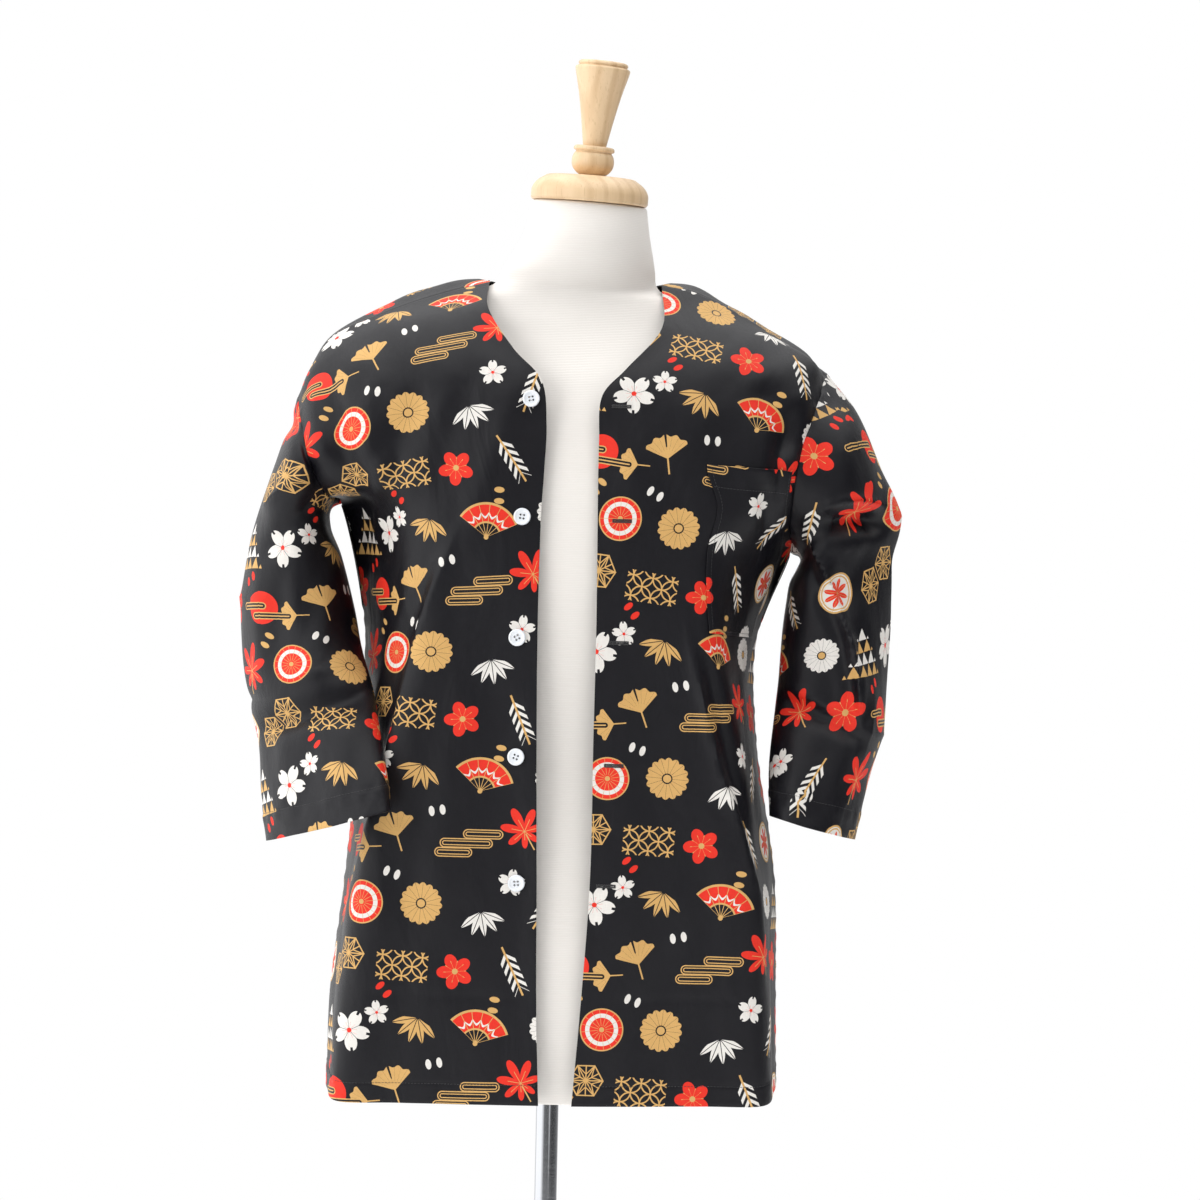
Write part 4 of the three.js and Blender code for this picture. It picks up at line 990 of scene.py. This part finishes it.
def sleeve_ring(out_x, out_y, out_z, in_x, in_y, in_z, front, back, peak, power):
    """A ring of a sleeve, from the underarm up behind, over the outer edge and down in front."""
    share = (1 + np.cos(ring_angle)) / 2
    slack = np.where(ring_angle > 0, peak, 0.5)
    reach = np.where(share < slack, (slack - share) / slack, (share - slack) / (1 - slack))
    sharp = np.where(ring_angle > 0, np.where(share < slack, max(power, 1.9), power), 2.0)
    tent = np.maximum(0, 1 - reach ** sharp) ** (1 / sharp)
    depth = np.where(ring_angle > 0, -front, back) * tent
    middle = blend_of((in_x, in_y, in_z), (out_x, out_y, out_z), share[:, None])
    return middle + np.stack([0 * depth, depth, 0 * depth], axis=1)


def sleeve_grid(front, back, rings):
    """The rings of a sleeve, from the armhole that the body leaves."""
    rows = UP >= UNDERARM
    armhole = np.concatenate([back[rows, 0], front[rows, -1][::-1][1:]])
    return smooth(np.array([armhole, *[sleeve_ring(*ring) for ring in rings]]), ALONG)


right_sleeve_folds = [
    (-1, "soft", -5, 11, (-160, 1022), (-262, 986)),
    (-1, "soft", 4, 16, (-212, 1236), (-266, 1184)),
    (1, "soft", -5, 12, (-165, 1030), (-268, 1000)),
    (1, "soft", -4, 16, (-200, 1200), (-262, 1120)),
    (-1, "crease", -6.0, 11, (-157, 1026), (-196, 1014), (-236, 994), (-266, 984)),
    (-1, "crease", 4.5, 7, (-210, 1222), (-236, 1202), (-264, 1180)),
    (-1, "soft", -5.0, 10, (-204, 1196), (-232, 1172), (-262, 1140)),
    (-1, "soft", 2.4, 10, (-196, 1150), (-206, 1090), (-214, 1030)),
    (-1, "soft", -2.4, 10, (-240, 1150), (-246, 1090), (-246, 1036)),
    (-1, "soft", 2.0, 9, (-262, 1120), (-264, 1080), (-258, 1034)),
    (-1, "crease", 1.6, 6, (-176, 1060), (-200, 1040), (-236, 1030)),
    (-1, "soft", 2.0, 10, (-180, 996), (-184, 960), (-186, 925)),
    (-1, "soft", -2.0, 9, (-208, 992), (-214, 950), (-218, 915)),
    (-1, "soft", 1.6, 9, (-238, 980), (-238, 940), (-236, 900)),
    (-2, "soft", -4.0, 10, (-60, 1256), (60, 1262)),
    (-2, "crease", -3.5, 9, (-60, 1014), (60, 1008)),
    (-2, "crease", 2.5, 10, (-60, 1104), (60, 1100)),
    (1, "crease", 2.4, 8, (-170, 1060), (-220, 1040), (-266, 1044)),
    (1, "soft", 2.2, 12, (-210, 1150), (-224, 1080), (-230, 1020)),
    (1, "soft", -2.2, 12, (-200, 1000), (-204, 950), (-206, 910)),
]
left_sleeve_folds = [
    (-1, "soft", -9, 12, (226, 1176), (292, 1184)),
    (-1, "soft", -5, 11, (196, 1022), (272, 1000)),
    (1, "soft", -7, 12, (214, 1150), (292, 1180)),
    (1, "soft", -5, 12, (200, 1040), (284, 1012)),
    (-1, "crease", 6.0, 7, (218, 1180), (231, 1191), (248, 1198), (264, 1200), (290, 1196)),
    (-1, "soft", -8.0, 9, (236, 1172), (262, 1180), (290, 1180)),
    (-1, "crease", 7.0, 5, (220, 1177), (228, 1155), (236, 1134), (247, 1108), (258, 1081),
     (266, 1046), (271, 1006)),
    (-1, "soft", -4.0, 8, (246, 1134), (258, 1106), (270, 1078), (279, 1044)),
    (-1, "soft", -4.0, 6, (212, 1168), (220, 1146), (228, 1126), (239, 1100), (250, 1074),
     (258, 1042), (263, 1006)),
    (-1, "lip", -5.0, 7, (201, 1028), (228, 1018), (252, 1004), (277, 990)),
    (-1, "soft", 2.2, 10, (222, 1120), (218, 1070), (216, 1030)),
    (-1, "soft", -2.0, 9, (240, 1080), (242, 1050), (246, 1020)),
    (-1, "soft", 2.2, 10, (216, 1000), (214, 960), (212, 925)),
    (-1, "soft", -2.2, 10, (238, 990), (236, 950), (232, 912)),
    (-1, "crease", 1.8, 7, (266, 985), (262, 950), (252, 915)),
    (2, "crease", 2.2, 12, (-60, 1190), (60, 1186)),
    (2, "soft", -0.8, 18, (-60, 1226), (60, 1224)),
    (2, "soft", -2.0, 16, (-60, 1152), (60, 1150)),
    (2, "crease", 2.0, 12, (-50, 994), (50, 990)),
    (1, "crease", 2.6, 8, (206, 1150), (250, 1170), (296, 1196)),
    (1, "soft", 2.4, 12, (230, 1120), (240, 1060), (244, 1020)),
    (1, "soft", -2.0, 10, (216, 1000), (222, 960), (224, 915)),
]


# How far above its edge the cuff is stitched
CUFF = 25


def dress_sleeve(points, folds, sign):
    """Folds a sleeve, and gives it its underarm seam and its stitched cuff."""
    normals = normals_of(points, sign)
    half = len(armhole_rows) - 1
    u, v = arc(points, 1), arc(points, 0)
    u = u - u[:, half : half + 1]
    from_cuff = v[-1:] - v
    from_seam = np.minimum(v, np.minimum(u - u[:, :1], u[:, -1:] - u))
    moves = fold_cloth(points, normals, folds) * ramp(v, 0, 22)
    moves += drift(u + 40, v, 0.8) * ramp(from_seam, 2, 20)
    moves += puckers(u, v, 0.4) * (v > 0.1)
    moves += seam_rise(from_seam)
    moves += 0.4 * (1 - ramp(from_cuff, CUFF - 0.6, CUFF + 0.6)) - 0.45 * np.exp(-(from_cuff - CUFF) ** 2)
    moves += puckers(u * 0.8, from_cuff - CUFF + 4, 0.45)
    moves[:, -1] = moves[:, 0] = (moves[:, -1] + moves[:, 0]) / 2
    ends = normals[:, 0] + normals[:, -1]
    normals[:, 0] = normals[:, -1] = ends / np.linalg.norm(ends, axis=-1, keepdims=True)
    moves[0] = 0
    plain = points.copy()
    points += normals * moves[..., None]
    return u, v, plain


right_tube = sleeve_grid(right_front, right_back, right_rings)
left_tube = sleeve_grid(left_front, left_back, left_rings)
# Where the cut of each sleeve starts on the printed cloth
RIGHT_LAY, LEFT_LAY = (30, 190), (110, 60)
u, right_v, plain = dress_sleeve(right_tube, right_sleeve_folds, 1)
right_sleeve = cloth_piece(
    "sleeve_right_cloth", right_tube, plain, RIGHT_LAY[0] + u, RIGHT_LAY[1] - right_v, 1, "sleeve_right",
    closed=True,
)
u, left_v, plain = dress_sleeve(left_tube, left_sleeve_folds, -1)
left_sleeve = cloth_piece(
    "sleeve_left_cloth", left_tube, plain, LEFT_LAY[0] - u, LEFT_LAY[1] - left_v, -1, "sleeve_left",
    closed=True,
)

# ---- The patch pocket ---------------------------------------------------------------------------------
# One square of the same cotton, hemmed at the top, turned under round the rest and stitched to the left
# front close to its edge.
MOUTH_HEM = 20
POCKET_LAY = (196, 88)
pocket_rows = np.flatnonzero((UP >= 4) & (UP <= 7))
pocket_columns = np.flatnonzero((ACROSS >= 3) & (ACROSS <= 4.67))
pocket_area = np.ix_(pocket_rows, pocket_columns)
pocket_normals = normals_of(left_front, -1)[pocket_area]
pocket_points = left_front[pocket_area].copy()
pocket_u, pocket_v = arc(pocket_points, 1), arc(pocket_points, 0)
from_edge = np.minimum(np.minimum(pocket_u, pocket_u[:, -1:] - pocket_u), pocket_v)
from_mouth = pocket_v[-1:] - pocket_v
lift = 1.25 + 0.5 * ramp(from_edge, 0, 20) - 0.35 * np.exp(-((from_edge - 3) / 1.4) ** 2)
lift += 0.3 * (1 - ramp(from_mouth, MOUTH_HEM - 1, MOUTH_HEM + 0.5))
lift -= 0.3 * np.exp(-((from_mouth - MOUTH_HEM) / 1.2) ** 2)
lift += 1.1 * np.exp(-(from_mouth / 9) ** 2) * ramp(from_edge, 2, 30)
pocket_points += pocket_normals * lift[..., None]
pocket_cloth = cloth_piece(
    "pocket_patch", pocket_points, pocket_points, POCKET_LAY[0] + pocket_u, POCKET_LAY[1] + pocket_v, -1,
    "pocket",
)

# ---- The buttons --------------------------------------------------------------------------------------
# Five four-hole buttons of pale bluish pearl, 15 mm across, with a raised rim and a sunk face. Each is
# sewn to the right front through its holes.
front_trees = {}
for panel in (right_panel, left_panel):
    bm = bmesh.new()
    bm.from_mesh(panel.data)
    front_trees[panel.name] = BVHTree.FromBMesh(bm)
    bm.free()


def on_cloth(panel, x, z, reach=6.0):
    """The place on a front at x and z in millimetres, and the frame of the cloth there."""
    cloth_tree = front_trees[panel.name]
    spots = []
    for dx, dz in [(0, 0), (reach, 0), (-reach, 0), (0, reach), (0, -reach)]:
        spots.append(cloth_tree.ray_cast(Vector(((x + dx) * MM, -1, (z + dz) * MM)), Vector((0, 1, 0)))[0])
    sideways = (spots[1] - spots[2]).normalized()
    upwards = (spots[3] - spots[4]).normalized()
    outwards = sideways.cross(upwards).normalized()
    upwards = outwards.cross(sideways)
    return spots[0], Matrix((sideways, upwards, outwards)).transposed()


pearl, tree, shader = new_material("pearl_plastic", coat_weight=0.4, coat_roughness=0.12)
place = add(tree, "TexCoord").outputs["Object"]
swirl = add(
    tree, "TexNoise", {"Vector": place, "Scale": 190.0, "Detail": 4.0, "Distortion": 1.6}
).outputs["Fac"]
pale = mixed(tree, swirl, (0.74, 0.78, 0.83, 1), (0.87, 0.89, 0.92, 1))
rough = add(tree, "MapRange", {"Value": swirl, 3: 0.2, 4: 0.34}).outputs[0]
tree.links.new(pale, shader.inputs["Base Color"])
tree.links.new(rough, shader.inputs["Roughness"])


def sewing_thread(name, low, high):
    """Twisted polyester thread, between two tones."""
    material, tree, shader = new_material(name, roughness=0.55, sheen_weight=0.2)
    place = add(tree, "TexCoord").outputs["Object"]
    twist = add(tree, "TexNoise", {"Vector": place, "Scale": 2600.0, "Detail": 2.0}).outputs["Fac"]
    relief = add(tree, "Bump", {"Height": twist, "Strength": 0.4, "Distance": 0.0001}).outputs[0]
    tree.links.new(mixed(tree, twist, low, high), shader.inputs["Base Color"])
    tree.links.new(relief, shader.inputs["Normal"])
    return material


black_thread = sewing_thread("black_thread", (0.008, 0.008, 0.009, 1), (0.03, 0.029, 0.032, 1))
pale_thread = sewing_thread("pale_thread", (0.5, 0.51, 0.54, 1), (0.66, 0.67, 0.69, 1))

button_profile = [
    (6.2, 0), (6.9, 0.25), (7.4, 0.8), (7.5, 1.3), (7.42, 1.9), (7.1, 2.45), (6.7, 2.75), (6.3, 2.8),
    (5.9, 2.7), (5.45, 2.35), (5.0, 2.05), (4.4, 1.9), (3.0, 1.85), (1.5, 1.84),
]
blank = bpy.data.meshes.new("button_blank")
bm = turned(button_profile, 56)
bm.to_mesh(blank)
bm.free()
drills = bpy.data.meshes.new("button_drills")
bm = bmesh.new()
for x, y in [(-1.5, -1.5), (1.5, -1.5), (-1.5, 1.5), (1.5, 1.5)]:
    bmesh.ops.create_cone(
        bm, cap_ends=True, segments=14, radius1=0.85 * MM, radius2=0.98 * MM, depth=4 * MM,
        matrix=Matrix.Translation(Vector((x, y, 1.2)) * MM),
    )
bm.to_mesh(drills)
bm.free()
blank_object = bpy.data.objects.new("button_blank", blank)
drill_object = bpy.data.objects.new("button_drills", drills)
for helper in (blank_object, drill_object):
    bpy.context.scene.collection.objects.link(helper)
drilling = blank_object.modifiers.new("holes", "BOOLEAN")
drilling.object = drill_object
drilling.operation = "DIFFERENCE"
drilled = bpy.data.meshes.new_from_object(blank_object.evaluated_get(bpy.context.evaluated_depsgraph_get()))
for helper in (blank_object, drill_object):
    bpy.data.objects.remove(helper)


def stitch(middle, turn, half_length, half_width, half_height):
    """The place of one stitch of thread, longest along the first axis of its turn."""
    size = Matrix.Diagonal((half_length * MM, half_width * MM, half_height * MM, 1))
    return Matrix.Translation(middle) @ turn.to_4x4() @ size


def stitched(name, slot, material, places):
    """A piece made of one rounded stitch, copied to many places."""
    bm = bmesh.new()
    bmesh.ops.create_uvsphere(bm, u_segments=6, v_segments=4, radius=1)
    bmesh.ops.rotate(bm, cent=(0, 0, 0), matrix=Matrix.Rotation(math.pi / 2, 3, "Y"), verts=bm.verts)
    one = bpy.data.meshes.new("stitch")
    bm.to_mesh(one)
    bm.free()
    corners = np.array([(*vertex.co, 1) for vertex in one.vertices])
    spread = np.einsum("nij,vj->nvi", np.array([np.array(place) for place in places]), corners)[..., :3]
    faces = [
        [k * len(corners) + index for index in face.vertices]
        for k in range(len(places)) for face in one.polygons
    ]
    mesh = bpy.data.meshes.new(name)
    mesh.from_pydata(spread.reshape(-1, 3).tolist(), [], faces)
    bpy.data.meshes.remove(one)
    bm = bmesh.new()
    bm.from_mesh(mesh)
    bpy.data.meshes.remove(mesh)
    return finished(name, bm, slot, [material])


# Place across and up, and how far each one has turned on its thread
button_places = [(-26, 1281, 12), (-31.5, 1178, -8), (-33.5, 1073, 31), (-32.5, 969, -20), (-30, 859, 5)]
for number, (x, z, twist) in enumerate(button_places, 1):
    spot, turn = on_cloth(right_panel, x, z, 6.6)
    place = Matrix.Translation(spot + turn @ Vector((0, 0, 0.55 * MM))) @ turn.to_4x4()
    place = place @ Matrix.Rotation(math.radians(twist), 4, "Z")
    bm = bmesh.new()
    bm.from_mesh(drilled)
    bmesh.ops.transform(bm, matrix=place, verts=bm.verts)
    node = f"button_{number}"
    made = finished(f"shirt_{node}", bm, "button", [pearl], node)
    made.data.set_sharp_from_angle(angle=math.radians(40))
    strands = []
    upright = place.to_3x3() @ Matrix.Rotation(math.radians(90), 3, "Y")
    for side in (-1.5, 1.5):
        strands.append(stitch(place @ (Vector((0, side, 1.82)) * MM), place.to_3x3(), 1.15, 0.26, 0.3))
        for end in (-1.5, 1.5):
            strands.append(stitch(place @ (Vector((end * 0.72, side, 0.7)) * MM), upright, 1.3, 0.26, 0.26))
    stitched(f"{node}_thread", "button", pale_thread, strands)

# ---- The buttonholes and the stitching ----------------------------------------------------------------
# Black polyester thread. The buttonholes of the left front are cut across it and bound with close satin
# stitches; the hems, the cuffs and the pocket are sewn with a straight lockstitch.
SATIN_STITCHES, SATIN_PITCH = 27, 0.56
binding, slits = [], []
for x, z in [(53, 1276), (55.5, 1176), (55, 1070), (52.7, 963), (48, 858)]:
    spot, turn = on_cloth(left_panel, x, z)
    for k in range(SATIN_STITCHES):
        for side in (-1, 1):
            offset = Vector(((k - SATIN_STITCHES // 2) * SATIN_PITCH, side * 0.95, 0.2)) * MM
            across_turn = turn @ Matrix.Rotation(math.radians(90 + side * 8), 3, "Z")
            binding.append(stitch(spot + turn @ offset, across_turn, 0.85, 0.3, 0.42))
    for end in (-1, 1):
        for k in range(5):
            offset = Vector((end * 7.8, (k - 2) * 0.62, 0.25)) * MM
            binding.append(stitch(spot + turn @ offset, turn, 0.9, 0.33, 0.45))
    slits.append(stitch(spot + turn @ (Vector((0, 0, 0.02)) * MM), turn, 7.2, 0.22, 0.2))
stitched("buttonhole_binding", "printed_cotton", black_thread, binding)
stitched("buttonhole_slits", "printed_cotton", black_thread, slits)


def sew(line, normals, pitch=2.9):
    """A row of lockstitches along a line of points on the cloth, in millimetres."""
    row = []
    lengths = np.concatenate([[0], np.cumsum(np.linalg.norm(np.diff(line, axis=0), axis=1))])
    for start in np.arange(pitch, lengths[-1] - pitch, pitch):
        ends = []
        for reach in (start - 1.05, start + 1.05):
            ends.append(Vector([np.interp(reach, lengths, line[:, k]) for k in range(3)]))
        out = Vector([np.interp(start, lengths, normals[:, k]) for k in range(3)]).normalized()
        ahead = (ends[1] - ends[0]).normalized()
        aside = out.cross(ahead).normalized()
        turn = Matrix((ahead, aside, ahead.cross(aside))).transposed()
        row.append(stitch((ends[0] + ends[1]) / 2 * MM + out * 0.14 * MM, turn, 1.12, 0.24, 0.2))
    return row


def level_line(points, normals, height, at):
    """The line on a panel where a measure, such as the height above the hem, has one value."""
    line, out = [], []
    for column in range(points.shape[1]):
        order = np.argsort(height[:, column])
        line.append([np.interp(at, height[order, column], points[order, column, k]) for k in range(3)])
        out.append([np.interp(at, height[order, column], normals[order, column, k]) for k in range(3)])
    return np.array(line), np.array(out)


rows = []
for points, height, sign in [
    (right_front, right_cut[0][1], 1), (left_front, left_cut[0][1], -1), (whole_back, back_v, 1),
]:
    rows += sew(*level_line(points, normals_of(points, sign), height, HEM))
stitched("hem_stitching", "printed_cotton", black_thread, rows)

rows = []
for points, v, sign in [(right_tube, right_v, 1), (left_tube, left_v, -1)]:
    rows += sew(*level_line(points, normals_of(points, sign), v[-1:] - v, CUFF))
stitched("cuff_stitching", "printed_cotton", black_thread, rows)

pocket_out = normals_of(pocket_points, -1)
rows = sew(*level_line(pocket_points, pocket_out, from_mouth, MOUTH_HEM))
for line in [(slice(1, None), 1), (slice(1, None), -2), (1, slice(1, -1))]:
    rows += sew(pocket_points[line], pocket_out[line])
stitched("pocket_stitching", "printed_cotton", black_thread, rows)

# ---- The room, the light and the camera ---------------------------------------------------------------
# A pale floor in a white studio. A lit screen stands at the left and the ceiling is lit, and two broad
# lamps in front, a key and a fill, lighten the side that faces the camera.
scene = bpy.context.scene
scene.view_settings.view_transform = "Standard"
bm = bmesh.new()
bmesh.ops.create_circle(bm, cap_ends=True, segments=128, radius=3.4)
bmesh.ops.translate(bm, vec=(0, 0, -0.0005), verts=bm.verts)
floor_mesh = bpy.data.meshes.new("floor")
bm.to_mesh(floor_mesh)
bm.free()
floor = bpy.data.objects.new("floor", floor_mesh)
scene.collection.objects.link(floor)
paint, tree, shader = new_material("floor_paint", base_color=(0.86, 0.86, 0.86, 1), roughness=0.7)
mottle = add(tree, "TexNoise", {"Scale": 3.0, "Detail": 3.0}).outputs["Fac"]
tree.links.new(mixed(tree, mottle, (0.85, 0.85, 0.85, 1), (0.88, 0.88, 0.88, 1)), shader.inputs["Base Color"])
floor_mesh.materials.append(paint)

world = bpy.data.worlds.new("white_studio")
world.use_nodes = True
scene.world = world
tree = world.node_tree
tree.nodes.clear()
seen = add(tree, "Background", {"Color": (1, 1, 1, 1), "Strength": 1.0})
towards = add(tree, "SeparateXYZ", {0: add(tree, "TexCoord").outputs["Generated"]}).outputs
behind = add(tree, "MapRange", {"Value": towards["Y"], 1: -0.4, 2: 0.9, 3: 0.23, 4: 0.95}).outputs[0]
beside = add(tree, "MapRange", {"Value": towards["X"], 1: -1.0, 2: 1.0, 3: 1.4, 4: 0.3}).outputs[0]
strength = add(tree, "Math", {0: behind, 1: beside}, operation="MULTIPLY").outputs[0]
screen_left = add(tree, "MapRange", {"Value": towards["X"], 1: -0.85, 2: -0.4, 3: 1.9, 4: 0.0}).outputs[0]
ceiling = add(tree, "MapRange", {"Value": towards["Z"], 1: 0.45, 2: 0.85, 3: 0.0, 4: 2.5}).outputs[0]
for panel_light in (screen_left, ceiling):
    strength = add(tree, "Math", {0: strength, 1: panel_light}, operation="MAXIMUM").outputs[0]
lighting = add(tree, "Background", {"Color": (1, 1, 1, 1), "Strength": strength})
camera_ray = add(tree, "LightPath").outputs["Is Camera Ray"]
chosen = add(tree, "MixShader", {0: camera_ray, 1: lighting.outputs[0], 2: seen.outputs[0]})
tree.links.new(chosen.outputs[0], add(tree, "OutputWorld").inputs["Surface"])

for name, spot, size, power in [
    ("key", (-2.4, -2.7, 2.1), 1.6, 23),
    ("fill", (1.6, -3.3, 1.2), 2.2, 8),
]:
    light = bpy.data.lights.new(name, "AREA")
    light.shape = "DISK"
    light.size = size
    light.energy = power
    lamp = bpy.data.objects.new(name, light)
    lamp.location = spot
    lamp.rotation_euler = (Vector((0, 0, 1.1)) - Vector(spot)).to_track_quat("-Z", "Y").to_euler()
    scene.collection.objects.link(lamp)

camera = bpy.data.objects.new("camera", bpy.data.cameras.new("camera"))
camera.location = (0.0377, -3.8, 1.107)
camera.rotation_euler = (math.radians(90), math.radians(-1.2), 0)
camera.data.lens = 127.2
camera.data.clip_end = 60
scene.collection.objects.link(camera)
scene.camera = camera
